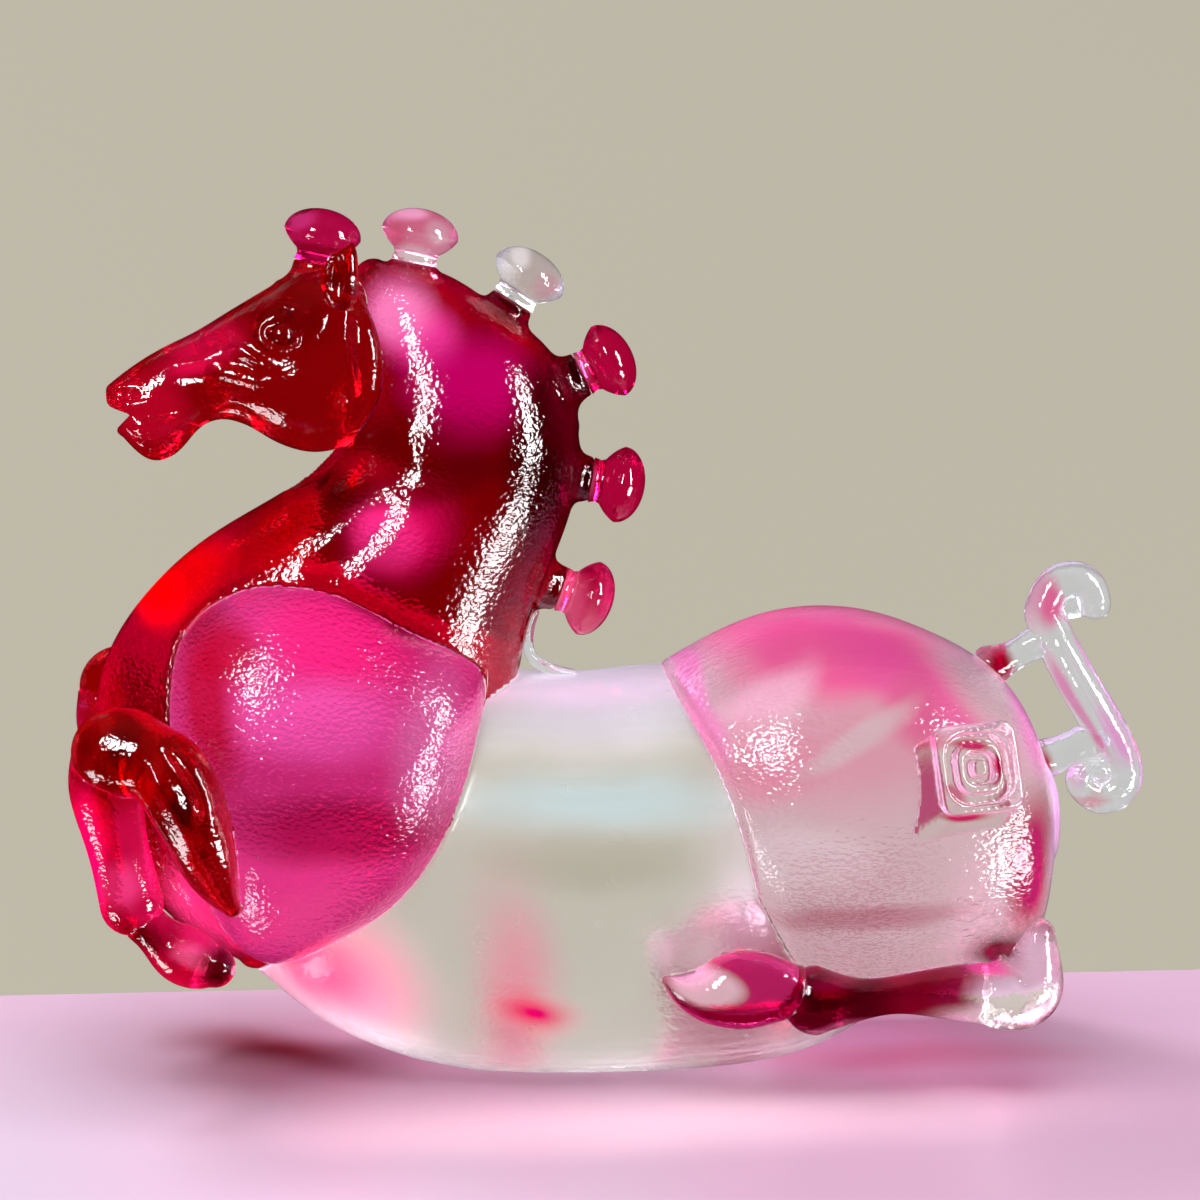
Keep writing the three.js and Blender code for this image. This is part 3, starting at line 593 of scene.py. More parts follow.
# eyelids and the fold above them; a ring is its middle, radii, depth, width and the part of it that shows
eyeRings = [
    ((-54, 123.9), (3.7, 2.6), -0.2, 0.8, None),
    ((-54, 123.9), (2.8, 1.7), 0.3, 0.5, None),
    ((-54.2, 123.9), (4.5, 3.6), -0.2, 0.6, (0.15 * math.pi, 0.85 * math.pi)),
]
# brow, cheekbone, lips and jaw; a line is its points, its depth, or height if negative, and its width
headLines = [
    ([(-58.6, 126.3), (-56.5, 128.2), (-53.6, 128.9), (-50.6, 127.6), (-48.4, 125.2)], -0.5, 0.8),
    ([(-63.4, 120.6), (-61, 121.6), (-58.6, 120.2), (-56.4, 118.6), (-54, 118)], -0.55, 0.8),
    ([(-66.4, 118.2), (-62, 117.2), (-58.4, 116.3), (-54, 116.8)], -0.6, 1),
    ([(-64, 119.2), (-60.6, 119.2), (-57, 117.6)], 0.5, 0.7),
    ([(-75.6, 117.6), (-71.7, 118.8), (-67, 119.6), (-63.4, 121.6)], -0.35, 0.8),
    ([(-73, 116.4), (-69, 117), (-64.4, 117.4)], 0.35, 1),
    ([(-81.4, 113), (-79.4, 112.3), (-76.8, 112.6), (-74.4, 113.4)], -0.35, 0.5),
    ([(-78.9, 110.7), (-76.4, 110.5), (-73.2, 110.9), (-70.4, 111.6)], 0.7, 0.45),
    ([(-79.6, 108.4), (-78.1, 107), (-75.8, 106.4), (-73.3, 106.9), (-71, 108.2), (-69.6, 109.9)], 0.45, 0.4),
    ([(-78.9, 109.4), (-76.6, 108.6), (-74, 108.9), (-71.8, 109.9)], -0.4, 0.7),
    ([(-68, 109.9), (-64.8, 111.2), (-62.2, 111.6), (-59.6, 110.8), (-57.6, 109)], 0.4, 0.6),
    ([(-46.8, 128.2), (-48.2, 124.5), (-50.2, 122.4)], 0.3, 1),
]
for ring in eyeRings:
    ringMark(headForm, *ring)
for line, depth, width in headLines:
    mark(headForm, line, depth, width, beyond=2.0)

headAxes = headForm.axes()
for rim in bothSides(**nostrilRimFacts):
    headForm.values = blendJoin(headForm.values, distanceOf(rim, fine).onAxes(headAxes), 1.0)
for hole in bothSides(**nostrilFacts):
    headForm.values = blendCut(headForm.values, distanceOf(hole, fine).onAxes(headAxes), 0.5)
headForm.values = blendCut(headForm.values, mouthOpening(headAxes), 0.6).astype(np.float32)
castPiece("head", headForm)
print("head cast")


# neck, shoulders, barrel and quarters

def without(form, *others, fillet=0.25):
    axes = form.axes()
    values = form.values
    for other in others:
        values = blendCut(values, other.onAxes(axes), fillet)
    return Distance(form.low, form.step, values.astype(np.float32))


# hollows in the flank of the neck, as points, depth and width
neckHollows = [
    ([(-54, 98), (-47, 101), (-40, 104), (-34, 107)], 1.5, 6),
    ([(-34.5, 98.5), (-38.6, 93.2), (-43.4, 88.6), (-49.5, 84.6)], 1, 2.8),
]
for line, depth, width in neckHollows:
    mark(neckForm, line, depth, width)
crest = without(neckForm, headForm, shoulderForm["left"], shoulderForm["right"])
castPiece("neck_and_chest", crest)
for side in flanks:
    castPiece(side + "_shoulder", shoulderForm[side])
trunk = without(barrelForm, neckForm, shoulderForm["left"], shoulderForm["right"], quartersForm)
ground = trunk.axes()[2][None, None, :]
trunk.values = np.maximum(trunk.values, -ground).astype(np.float32)
castPiece("barrel", trunk)
castPiece("hindquarters", quartersForm)
print("body cast")


# legs

forearmFacts = {
    "stations": [
        (-62.4, 27.8, 32.8, 1.8, 2.4), (-64.6, 28.8, 37, 3.9, 4.4), (-68, 29.6, 46, 6, 6.2),
        (-72.3, 28.4, 54, 6.6, 6.6), (-77.5, 26, 57.6, 6.4, 6.4),
    ],
    "knee": (-80.9, 24.6, 57.6), "kneeRadii": (7.2, 6.6, 7.2),
    "folds": [
        ([(-77.2, 59), (-74.6, 55.6), (-71, 49.6), (-67, 42.4)], -0.9, 1.7),
        ([(-71.6, 61), (-68.4, 57.4), (-66, 52), (-65.4, 45)], -0.9, 1.9),
        ([(-74.4, 60), (-71, 55.6), (-67.6, 49.4)], 0.7, 1),
        ([(-79, 53), (-75.4, 46), (-71, 38)], 0.7, 1.2),
    ],
}
foreCannonFacts = {
    "stations": [
        (-83, 23.8, 56, 5.4, 5.4), (-82.7, 23.6, 51.6, 5.9, 5.4), (-81.3, 23, 43.5, 5.1, 4.6),
        (-79.9, 22.4, 37, 5, 4.4), (-78.9, 22, 32.2, 5.2, 4.8),
    ],
}
foreHoofFacts = {
    "stations": [
        (-77.6, 22, 30, 3.7, 3.9), (-74.9, 22, 27.2, 3.6, 3.8), (-71.4, 22.2, 24.3, 4.8, 4.8),
        (-67.6, 22.4, 22.4, 4.4, 4.6), (-65.6, 22.5, 21.8, 3.4, 4),
    ],
}
hockFacts = {
    "stations": [
        (69.4, 25.5, 25.6, 2.8, 3), (68.6, 26.5, 20.6, 4.8, 4.6), (66.8, 27, 17.3, 6.4, 5.6),
        (63, 27.4, 16.2, 5.7, 5.4),
    ],
}
hindCannonFacts = {
    "stations": [
        (62, 27.5, 16.4, 5.2, 5), (54.6, 28, 16.8, 4.5, 4.7), (46, 28, 16.7, 3.2, 4), (39.4, 28, 16, 3.5, 4.2),
        (32.4, 28, 15.9, 5.8, 5),
    ],
}
hindHoofFacts = {
    "stations": [
        (28.6, 28, 17.5, 4.4, 4.6), (21, 28, 17.9, 6.5, 5.4), (14.2, 27.6, 17.4, 5, 4.6), (9.9, 27, 18.4, 2.6, 2.8),
        (7.6, 26.6, 19.6, 0.9, 1),
    ],
}
# how far each foreleg is held up and forward
forelegHeld = {"left": (0, 0), "right": (3.5, 2.2)}


def held(facts, side):
    lift, ahead = forelegHeld[side]
    return [(x - ahead, y, z + lift, *sizes) for x, y, z, *sizes in facts["stations"]]


for side, sign in flanks.items():
    lift, ahead = forelegHeld[side]
    x, y, z = forearmFacts["knee"]
    knee = ellipsoid((x - ahead, sign * y, z + lift), forearmFacts["kneeRadii"])
    forearm = joined([limb(held(forearmFacts, side), side=sign), knee], fine, [2.5])
    cannon, hoof = (limbForm(held(facts, side), sign) for facts in (foreCannonFacts, foreHoofFacts))
    for line, depth, width in forearmFacts["folds"]:
        mark(forearm, [(x - ahead, z + lift) for x, z in line], depth, width, (sign,), beyond=24)
    carriers = [shoulderForm[side], neckForm, barrelForm]
    castPiece(side + "_forearm", without(forearm, *carriers))
    castPiece(side + "_fore_cannon", without(cannon, forearm, *carriers))
    castPiece(side + "_fore_hoof", without(hoof, cannon, forearm, *carriers))

    hock, cannon, hoof = (limbForm(facts["stations"], sign) for facts in (hockFacts, hindCannonFacts, hindHoofFacts))
    castPiece(side + "_hock", without(hock, quartersForm))
    castPiece(side + "_hind_cannon", without(cannon, hock, quartersForm, barrelForm))
    castPiece(side + "_hind_hoof", without(hoof, cannon, quartersForm, barrelForm))
print("legs cast")


# ears, eyes, knobs and the strip behind the mane

earFacts = {
    "stations": [
        (-43.9, 8, 127.4, 1.8, 1.8), (-44.3, 9.6, 130.5, 2.9, 2.1), (-44.1, 10.6, 134, 3, 2),
        (-43.1, 10.8, 136.6, 1.9, 1.4), (-42.4, 10.5, 138.2, 0.6, 0.6),
    ],
    "hollow": {"centre": (-44.9, 12.1, 133), "radii": (1.5, 1.5, 3.9)},
}
stripFacts = {
    "half": 1.8,
    "stations": [
        (-9.6, 0, 81.6, 0.8), (-12, 0, 77.6, 0.95), (-13.4, 0, 73, 1), (-12.6, 0, 69, 0.95), (-9.1, 0, 66.9, 0.9),
        (-5.6, 0, 66.2, 0.7),
    ],
}

hollows, eyeballs = bothSides(**earFacts["hollow"]), bothSides(**eyeFacts)
for (side, sign), hollow, eyeball in zip(flanks.items(), hollows, eyeballs):
    ear = without(limbForm(earFacts["stations"], sign), distanceOf(hollow, fine), fillet=0.4)
    castPiece(side + "_ear", without(ear, headForm, neckForm))
    addPiece(side + "_eye", *eyeball, distanceOf(eyeball, fine))

for number, seat in enumerate([forelockSeat] + maneSeats):
    shape = knobShape(seat)
    addPiece("mane_knob_%d" % number if number else "forelock_knob", *shape, distanceOf(shape, fine))
castPiece("withers_strip", without(limbForm(**stripFacts), neckForm, barrelForm))
print("head ornaments cast")


# tail and its pegs

tailFacts = {
    "half": 3.3,
    "bar": [
        (74.2, 0, 76, 2.9), (76.2, 0, 71.6, 3.3), (80.4, 0, 63.9, 3.5), (84.7, 0, 56.8, 3.6), (87.6, 0, 51.3, 3.6),
        (88.7, 0, 47.2, 3.2), (87.2, 0, 44.6, 3),
    ],
    "upperCurl": [
        (83.2, 0, 77.3, 2.7), (82.1, 0, 80.2, 2.9), (79.5, 0, 81.5, 3.1), (76.6, 0, 80.7, 3.1), (74.8, 0, 78.2, 3),
        (74.3, 0, 75.2, 3), (76, 0, 72, 3.1),
    ],
    "lowerCurl": [
        (88.2, 0, 46.4, 2.9), (85.6, 0, 43.9, 2.8), (82.6, 0, 44.8, 2.6), (81, 0, 47.3, 2.3), (82.6, 0, 49.2, 1.9),
        (84.8, 0, 48.6, 1.5),
    ],
    "webs": [{"centre": (79.3, 0, 78), "radii": (3.2, 1.8, 3.2)}, {"centre": (84.6, 0, 47), "radii": (3.2, 2.1, 3.2)}],
    "groove": [(74.6, 75.4), (77.6, 68.6), (81.6, 61.4), (85.4, 54.4), (88, 47.6)], "grooveDepth": 0.55,
    "grooveWidth": 0.6,
}
pegFacts = {
    "tail_upper_peg": [(65.6, 0, 66.8, 3.7), (69.9, 0, 68.9, 2.5), (73.4, 0, 70.8, 3), (76.4, 0, 72, 3.2)],
    "tail_lower_peg": [(73, 0, 50, 4), (78, 0, 51.8, 3), (81.5, 0, 53.1, 3.3), (84.6, 0, 54.2, 3.3)],
}

strokes = [limb(tailFacts[part], tailFacts["half"]) for part in ("bar", "upperCurl", "lowerCurl")]
webs = [ellipsoid(**web) for web in tailFacts["webs"]]
tail = joined(strokes + webs, fine, [0.8, 0.6, 1.0, 0.8])
mark(tail, tailFacts["groove"], tailFacts["grooveDepth"], tailFacts["grooveWidth"])
castPiece("tail_scroll", tail)
for name, stations in pegFacts.items():
    castPiece(name, without(limbForm(stations), quartersForm, tail))


# seal on the left haunch

# spread and flare say how far the walls lean out towards the haunch, sideways and all round
sealFacts = {
    "side": 14.6, "corner": 2.4, "height": 8.3, "at": (55.7, -27.5, 53.2), "turn": 14, "tip": 15, "roll": 3,
    "rim": 1.6, "channel": 1.6, "island": 2.8, "depth": 1.5, "spread": (0.95, 0.8), "flare": 0.35, "round": 0.32,
    "upright": 1.2, "easedEdge": 1.0, "easedGroove": 0.7,
}


def sealDistance(facts):
    turn, tip, roll = (math.radians(facts[k]) for k in ("turn", "tip", "roll"))
    across = np.array((math.cos(turn), math.sin(turn), 0))
    out = np.array((math.sin(turn), -math.cos(turn), math.tan(tip)))
    out /= np.linalg.norm(out)
    up = np.cross(out, across)
    across, up = across * math.cos(roll) + up * math.sin(roll), up * math.cos(roll) - across * math.sin(roll)
    at = np.array(facts["at"])
    span = facts["side"]
    low = np.floor((at - span) / fine).astype(int)
    axes = [fine * np.arange(low[k], low[k] + int(2 * span / fine)) for k in range(3)]
    x, y, z = np.meshgrid(*axes, indexing="ij")
    p = [x - at[0], y - at[1], z - at[2]]
    u, v, w = (p[0] * d[0] + p[1] * d[1] + p[2] * d[2] for d in (across, up, out))

    away = np.maximum(facts["height"] - facts["upright"] - w, 0)  # how far below the upright part of the walls
    u, v = u + away * facts["spread"][0], v + away * facts["spread"][1]

    def square(size, corner):
        a, b = np.abs(u) - size / 2 + corner, np.abs(v) - size / 2 + corner
        return np.hypot(np.maximum(a, 0), np.maximum(b, 0)) + np.minimum(np.maximum(a, b), 0) - corner

    outer = square(facts["side"] + away * facts["flare"], facts["corner"])
    block = blendCut(np.maximum(outer, -w), facts["height"] - w, facts["easedEdge"])
    moat = facts["side"] - 2 * facts["rim"]
    inside = moat - 2 * facts["channel"]
    rings = []
    for size, hole in ((moat, inside), (inside - 2 * facts["rim"], facts["island"])):
        rings.append(np.maximum(square(size, facts["round"] * size), -square(hole, facts["round"] * hole)))
    floor = facts["height"] - facts["depth"] - w
    for ring in rings:
        block = blendCut(block, np.maximum(ring, floor), facts["easedGroove"])
    return Distance(low * fine, fine, np.clip(block, -reach, reach).astype(np.float32))


castPiece("rump_seal", without(sealDistance(sealFacts), quartersForm))
print("tail and seal cast")


# glass

def colour(red, green, blue):
    # a colour as seen on a screen, 0 to 255, in the shader's linear light
    shares = (red / 255, green / 255, blue / 255)
    return tuple(c / 12.92 if c <= 0.04045 else ((c + 0.055) / 1.055) ** 2.4 for c in shares) + (1,)


class Socket:
    # a node's output, so that shader maths reads as Python
    def __init__(self, recipe, output):
        self.recipe, self.output = recipe, output

    def maths(self, operation, first, second):
        return self.recipe.add("ShaderNodeMath", {"operation": operation}, {0: first, 1: second})

    def __add__(self, other):
        return self.maths("ADD", self, other)

    def __mul__(self, other):
        return self.maths("MULTIPLY", self, other)


class Recipe:
    # one material's nodes
    def __init__(self, name):
        self.material = bpy.data.materials.new(name)
        self.material.use_nodes = True
        self.tree = self.material.node_tree
        self.tree.nodes.clear()

    def add(self, kind, settings=None, values=None, output=0):
        node = self.tree.nodes.new(kind)
        for name, value in (settings or {}).items():
            setattr(node, name, value)
        for name, value in (values or {}).items():
            if isinstance(value, Socket):
                self.tree.links.new(value.output, node.inputs[name])
            else:
                node.inputs[name].default_value = value
        return Socket(self, node.outputs[output]) if node.outputs else None

    def place(self):
        return self.add("ShaderNodeTexCoord", output=3)

    def vector(self, operation, values, output=0):
        return self.add("ShaderNodeVectorMath", {"operation": operation}, values, output)

    def noise(self, place, scale, detail=2.0, rough=0.5, output=0):
        values = {"Vector": place, "Scale": scale, "Detail": detail, "Roughness": rough}
        return self.add("ShaderNodeTexNoise", None, values, output)

    def drifted(self, place, scale, amount):
        # the place, moved about by slow noise, so that colours run into each other unevenly
        wander = self.noise(place, scale, 1.0, output=1)
        centred = self.vector("SUBTRACT", {0: wander, 1: (0.5, 0.5, 0.5)})
        return self.vector("ADD", {0: place, 1: self.vector("SCALE", {0: centred, "Scale": amount})})

    def oval(self, place, centre, turn, half, core=0.0):
        # 1 inside an oval, falling smoothly to 0 at its rim; its turn in degrees, its half sizes in millimetres
        values = {
            "Vector": place, "Location": ((centre[0] + shift) * mm, centre[1] * mm, centre[2] * mm),
            "Rotation": [math.radians(a) for a in turn], "Scale": [h * mm for h in half],
        }
        local = self.add("ShaderNodeMapping", {"vector_type": "TEXTURE"}, values)
        far = self.vector("LENGTH", {0: local}, "Value")
        values = {"Value": far, "From Min": 1.0, "From Max": core, "To Min": 0.0, "To Max": 1.0}
        return self.add("ShaderNodeMapRange", {"interpolation_type": "SMOOTHSTEP"}, values)

    def mixed(self, mask, first, second):
        return self.add("ShaderNodeMix", {"data_type": "RGBA"}, {0: mask, 6: first, 7: second}, 2)

    def finish(self, shader, values):
        self.add("ShaderNodeOutputMaterial", None, {"Surface": self.add(shader, None, values)})
        return self.material


endless = 1e7  # the half size of an oval that runs right through


# what a glass has where its own look doesn't say otherwise; its drift is in millimetres, and its glow is painted glow:
# emission in the tint that stands in for lamp light scattered inside the glass
plainLook = {
    "clear": 1.0, "roughness": 0.05, "grain": 0.05, "ripple": 0.1, "glow": 0.05, "core": 0.3, "drift": 5,
    "weave": (1.0, 1.0, 1.3),
}


def glassOf(name, look):
    look = {**plainLook, **look}
    recipe = Recipe(name)
    place = recipe.place()
    drift = recipe.drifted(place, 60.0, look["drift"] * mm)
    tint, glow = colour(*look["tint"]), look["glow"]
    for x, z, wide, tall, turn, rgb, strength, shine in look["patches"]:
        mask = recipe.oval(drift, (x, 0, z), (0, -turn, 0), (wide, endless, tall), look["core"])
        tint = recipe.mixed(mask * strength, tint, colour(*rgb))
        glow = recipe.add("ShaderNodeMix", {"data_type": "FLOAT"}, {0: mask, 2: glow, 3: shine})
    grain = recipe.noise(recipe.vector("MULTIPLY", {0: place, 1: look["weave"]}), 1150.0, 1.0, 0.4)
    ripple = recipe.noise(place, 130.0, 2.0)
    height = grain * look["grain"] + ripple * look["ripple"]
    bump = recipe.add("ShaderNodeBump", None, {"Strength": 1.0, "Distance": mm, "Height": height})
    rough = recipe.noise(place, 220.0, 2.0) * 0.06 + (look["roughness"] - 0.03)
    # painted glow: the tint given off as emission, as strong as the glow says
    light = recipe.vector("SCALE", {0: tint, "Scale": glow})
    values = {
        "Base Color": tint, "Roughness": rough, "IOR": 1.5, "Transmission Weight": look["clear"], "Normal": bump,
        "Emission Color": light, "Emission Strength": 1.0,
    }
    return recipe.finish("ShaderNodeBsdfPrincipled", values)


def fusedGlass():
    # where two glasses are fused there is no surface, so light passes straight on
    return Recipe("fused_seam").finish("ShaderNodeBsdfTransparent", {"Color": (1, 1, 1, 1)})


# A patch is the middle x, z and the half width and half height of an oval of the side view, its turn in degrees,
# its colour, how fully it covers and how much painted glow it gives off as emission.
looks = {
    "neck_glass": {
        "pieces": ["neck_and_chest"],
        "tint": (145, 0, 4), "clear": 0.96, "grain": 0.14, "ripple": 0.2, "glow": 0.02,
        "patches": [
            (-56, 91, 18, 8, 28, (130, 0, 0), 0.9, 0.02),
            # painted shade in the throat hollow below the jaw
            (-55, 94.5, 13, 5.5, 32, (96, 0, 0), 0.95, 0),
            # painted glow: the chest as if lit through from behind, bright red with strong emission
            (-71, 84, 12, 9, 50, (230, 0, 0), 0.95, 0.25),
            (-75, 81, 6.5, 7, 40, (255, 0, 0), 0.95, 0.7),
            (-83, 62, 4, 14, 0, (190, 0, 4), 0.9, 0.15),
            (-67, 31, 7, 12, 20, (232, 40, 112), 0.95, 0.3),
            (-23.5, 114.5, 13, 12, -15, (208, 0, 118), 0.95, 0.16),
            (-31, 123, 8, 8, -15, (238, 60, 165), 0.95, 0.26),
            (-35, 127.5, 8, 8, 0, (245, 135, 200), 0.95, 0.3),
            (-33, 136.4, 12, 3.2, 0, (95, 0, 6), 0.97, 0),
            (-24, 134, 12, 4, -25, (80, 0, 4), 0.97, 0),
            (-35, 92, 12, 10, 20, (225, 10, 105), 0.95, 0.2),
            (-37, 91.5, 8, 7.5, 20, (240, 50, 145), 0.95, 0.35),
            (-28, 101, 16, 5, 5, (110, 0, 8), 0.9, 0),
            # painted shade under the jaw
            (-43, 99, 9, 5, 10, (70, 0, 0), 0.95, 0),
            (-34, 78, 15, 6, -20, (140, 0, 4), 0.9, 0.02),
            (-4, 106, 15, 32, -8, (50, 0, 1), 0.97, 0),
            (-11, 104, 9, 32, -8, (45, 0, 1), 1.0, 0),
            (-17, 130, 15, 7, -35, (70, 0, 3), 0.97, 0),
            (-14, 76, 11, 13, 0, (100, 0, 0), 0.95, 0),
        ],
    },
    "head_glass": {
        "pieces": ["head", "left_ear", "right_ear", "left_eye", "right_eye"],
        "tint": (160, 2, 8), "clear": 0.97, "grain": 0.09, "glow": 0.06,
        "patches": [
            (-67, 121, 11, 4.5, 25, (240, 15, 90), 0.9, 0.2),
            (-76, 112, 9, 8, 0, (205, 6, 50), 0.9, 0.12),
            (-52, 126, 9, 7, 0, (130, 1, 5), 0.8, 0.03),
        ],
    },
    "shoulder_glass": {
        "pieces": ["left_shoulder", "right_shoulder"],
        "tint": (225, 60, 150), "clear": 0.93, "roughness": 0.06, "grain": 0.22, "ripple": 0.2, "glow": 0.2,
        "patches": [
            (-46, 76, 18, 10, -12, (240, 20, 120), 0.9, 0.3),
            (-48, 63, 20, 9, 0, (235, 95, 190), 0.8, 0.35),
            (-46, 46, 25, 8, 0, (165, 2, 70), 0.95, 0.06),
            (-46, 30, 20, 9, 0, (225, 75, 150), 0.8, 0.25),
            (-30, 58, 9, 18, -6, (225, 140, 205), 0.7, 0.25),
            (-66, 66, 7, 20, 8, (190, 2, 35), 0.95, 0.12),
            (-63, 74, 7, 8, 35, (195, 0, 28), 0.9, 0.1),
            # painted shade along the seam where the shoulder meets the neck
            (-36, 79, 14, 3.4, -27, (140, 0, 8), 0.95, 0.02),
        ],
    },
    "barrel_glass": {
        "pieces": ["barrel"],
        "tint": (232, 234, 230), "clear": 0.96, "roughness": 0.26, "grain": 0.06, "ripple": 0.15,
        "core": 0.1,
        "patches": [
            # painted reflection: bands of the room seen through the clear body, lilac above, a pale blue band, then
            # grey, the first two with painted glow
            (-3, 64, 34, 13, 0, (232, 226, 252), 0.95, 0.36),
            (-3, 49, 40, 7.5, 0, (205, 238, 255), 0.95, 0.24),
            (-3, 39, 27, 7, 0, (208, 210, 194), 0.75, 0.02),
            (21, 30, 9, 12, 10, (240, 222, 244), 0.8, 0.25),
            (-42, 18, 20, 15, -30, (255, 140, 180), 0.95, 0.3),
            (-49, 20, 13, 10, -35, (255, 60, 125), 0.95, 0.45),
            (-56, 24, 7, 5, -30, (195, 5, 60), 0.95, 0.12),
            (-15, 22, 9, 13, 0, (250, 165, 192), 0.85, 0.12),
            (-13, 13, 10, 6, -5, (225, 0, 90), 1.0, 0.35),
            (17, 22, 7, 7, 0, (236, 200, 232), 0.7, 0.2),
        ],
    },
    "haunch_glass": {
        "pieces": ["hindquarters"],
        "tint": (240, 212, 230), "clear": 0.95, "roughness": 0.13, "grain": 0.17, "ripple": 0.2, "glow": 0.07,
        "weave": (0.8, 1.0, 1.5),
        "patches": [
            (36, 62, 34, 20, 0, (232, 130, 172), 0.75, 0.12),
            (34, 72.5, 29, 8.5, 0, (243, 50, 140), 0.95, 0.28),
            (22, 61, 12, 3, 35, (245, 195, 222), 0.7, 0.2),
            # painted sheen along the top of the haunch
            (32, 81, 24, 5.5, 0, (250, 165, 222), 0.85, 0.3),
            (24, 66, 13, 4, 30, (248, 175, 215), 0.8, 0.3),
            (50, 66, 24, 6.5, -36, (240, 55, 150), 0.9, 0.25),
            (47.5, 63.5, 8, 7, -30, (232, 70, 140), 0.85, 0.15),
            (23, 56, 12, 9, 0, (240, 120, 165), 0.8, 0.15),
            (38, 60, 15, 3.2, 28, (232, 205, 222), 0.8, 0.1),
            (29, 40, 18, 8, 0, (244, 226, 242), 0.9, 0.14),
            (40, 30.5, 22, 3.2, 3, (205, 120, 150), 0.85, 0.04),
            (67, 38, 6, 18, 0, (190, 5, 80), 1.0, 0.06),
            (64, 22.6, 11, 6.4, -12, (70, 0, 4), 1.0, 0),
            # painted sheen along the haunch's rear rim, lilac, with painted glow
            (70, 60, 6, 14, 12, (250, 120, 215), 0.9, 0.35),
            (73, 50, 4, 20, 0, (245, 175, 255), 0.95, 0.42),
            # a painted highlight line down the haunch's front edge
            (13, 66, 3.5, 18, 15, (250, 110, 200), 0.85, 0.25),
        ],
    },
    "seal_glass": {
        "pieces": ["rump_seal"],
        "tint": (246, 236, 242), "roughness": 0.04, "glow": 0.06,
        "patches": [
            # painted shadow: a dark band down the left wall of the seal
            (44.4, 55, 2.4, 10, 4, (225, 10, 90), 1.0, 0.1),
            (47.5, 60.5, 7, 2.4, -8, (245, 110, 160), 0.9, 0.15),
            # painted shade in the grooves of the seal, darker pink
            (56.4, 59.6, 5.5, 1.2, -8, (215, 10, 80), 1.0, 0.08),
            (61.3, 56, 1.6, 3.4, 0, (190, 5, 60), 1.0, 0.05),
            (55.4, 47.6, 6, 1.1, -4, (215, 10, 80), 1.0, 0.08),
            (53.8, 51.5, 3.6, 1.3, -40, (230, 60, 130), 0.9, 0.08),
        ],
    },
    "forelock_glass": {
        "pieces": ["forelock_knob"],
        "tint": (215, 15, 95), "roughness": 0.03, "grain": 0.06, "glow": 0.06,
        "patches": [
            # painted sheen on the top left of the cap
            (-50.4, 142.8, 4.2, 1.9, 10, (240, 85, 180), 0.8, 0.2),
            # painted shade on the underside of the cap
            (-47, 138.2, 6.5, 1.5, -10, (150, 0, 30), 0.9, 0),
        ],
    },
    "pale_knob_glass": {
        "pieces": ["mane_knob_1"],
        "tint": (248, 130, 180), "roughness": 0.03, "grain": 0.06,
        "patches": [
            (-35.6, 139.2, 2.8, 2.6, 0, (232, 60, 115), 0.7, 0.08),
            # painted sheen on the top of the cap
            (-33, 142.6, 4.6, 1.9, 8, (250, 190, 235), 0.9, 0.35),
            (-28.2, 140.2, 3.6, 2.6, -15, (228, 200, 220), 0.9, 0.15),
            (-31.8, 136.6, 5, 1.8, -12, (238, 220, 232), 1.0, 0.12),
        ],
    },
    "cherry_knob_glass": {
        "pieces": ["mane_knob_3", "mane_knob_4", "mane_knob_5"],
        "tint": (212, 8, 80), "roughness": 0.03,
        "patches": [
            (-6, 78, 5, 7, 0, (240, 120, 165), 0.8, 0.2),
            (-5.4, 117.6, 2.6, 4.6, 20, (248, 175, 205), 0.9, 0.2),
            (-3.4, 99.2, 2.4, 4.6, -8, (245, 130, 175), 0.9, 0.15),
            (-8.8, 80.2, 2.2, 4.6, -15, (245, 190, 215), 0.9, 0.2),
        ],
    },
    "clear_glass": {
        "pieces": ["mane_knob_2", "withers_strip", "tail_scroll", "tail_upper_peg", "tail_lower_peg"],
        "tint": (232, 238, 250), "grain": 0.08, "ripple": 0.5, "glow": 0.1,
        "patches": [
            (-11.6, 133.6, 6.5, 6.5, 0, (236, 222, 232), 0.9, 0.02),
            (-9.6, 131.6, 3.4, 3.0, -33, (240, 168, 200), 0.9, 0.06),
            # painted sheen on the top left of the cap
            (-14.8, 136.4, 3.2, 1.8, -33, (244, 240, 250), 0.9, 0.3),
            (66.5, 67.6, 3.4, 3.6, 30, (190, 0, 50), 1.0, 0.03),
            (73.6, 50.2, 2.4, 4.4, 10, (200, 5, 60), 1.0, 0.04),
            (75.2, 78, 2.6, 6, 0, (240, 110, 175), 0.95, 0.15),
            (80.2, 60.4, 1.3, 15, 30, (238, 110, 185), 0.95, 0.12),
            (86.6, 55, 1.6, 8, 25, (240, 170, 235), 0.9, 0.15),
            (82, 43.6, 5, 1.6, 0, (238, 170, 195), 0.9, 0.1),
            (80.5, 48, 2, 3, 0, (238, 180, 235), 0.9, 0.12),
        ],
    },
    "forearm_glass": {
        "pieces": ["left_forearm", "right_forearm"],
        "tint": (165, 2, 4), "clear": 0.97, "grain": 0.1, "glow": 0.1,
        "patches": [
            (-80, 58, 5, 5, 0, (120, 1, 2), 0.8, 0.05),
            (-70.4, 49, 3, 11, -27, (105, 0, 0), 0.85, 0),
            (-76, 52, 2.4, 10, -24, (215, 2, 12), 0.8, 0.2),
        ],
    },
    "cannon_glass": {
        "pieces": ["left_fore_cannon", "right_fore_cannon", "left_fore_hoof", "right_fore_hoof"],
        "tint": (215, 15, 85), "clear": 0.98, "grain": 0.12, "glow": 0.15,
        "patches": [
            (-82, 56, 12, 11, 0, (175, 2, 5), 1.0, 0.1),
            (-85, 42, 4, 16, 5, (255, 10, 120), 0.9, 0.5),
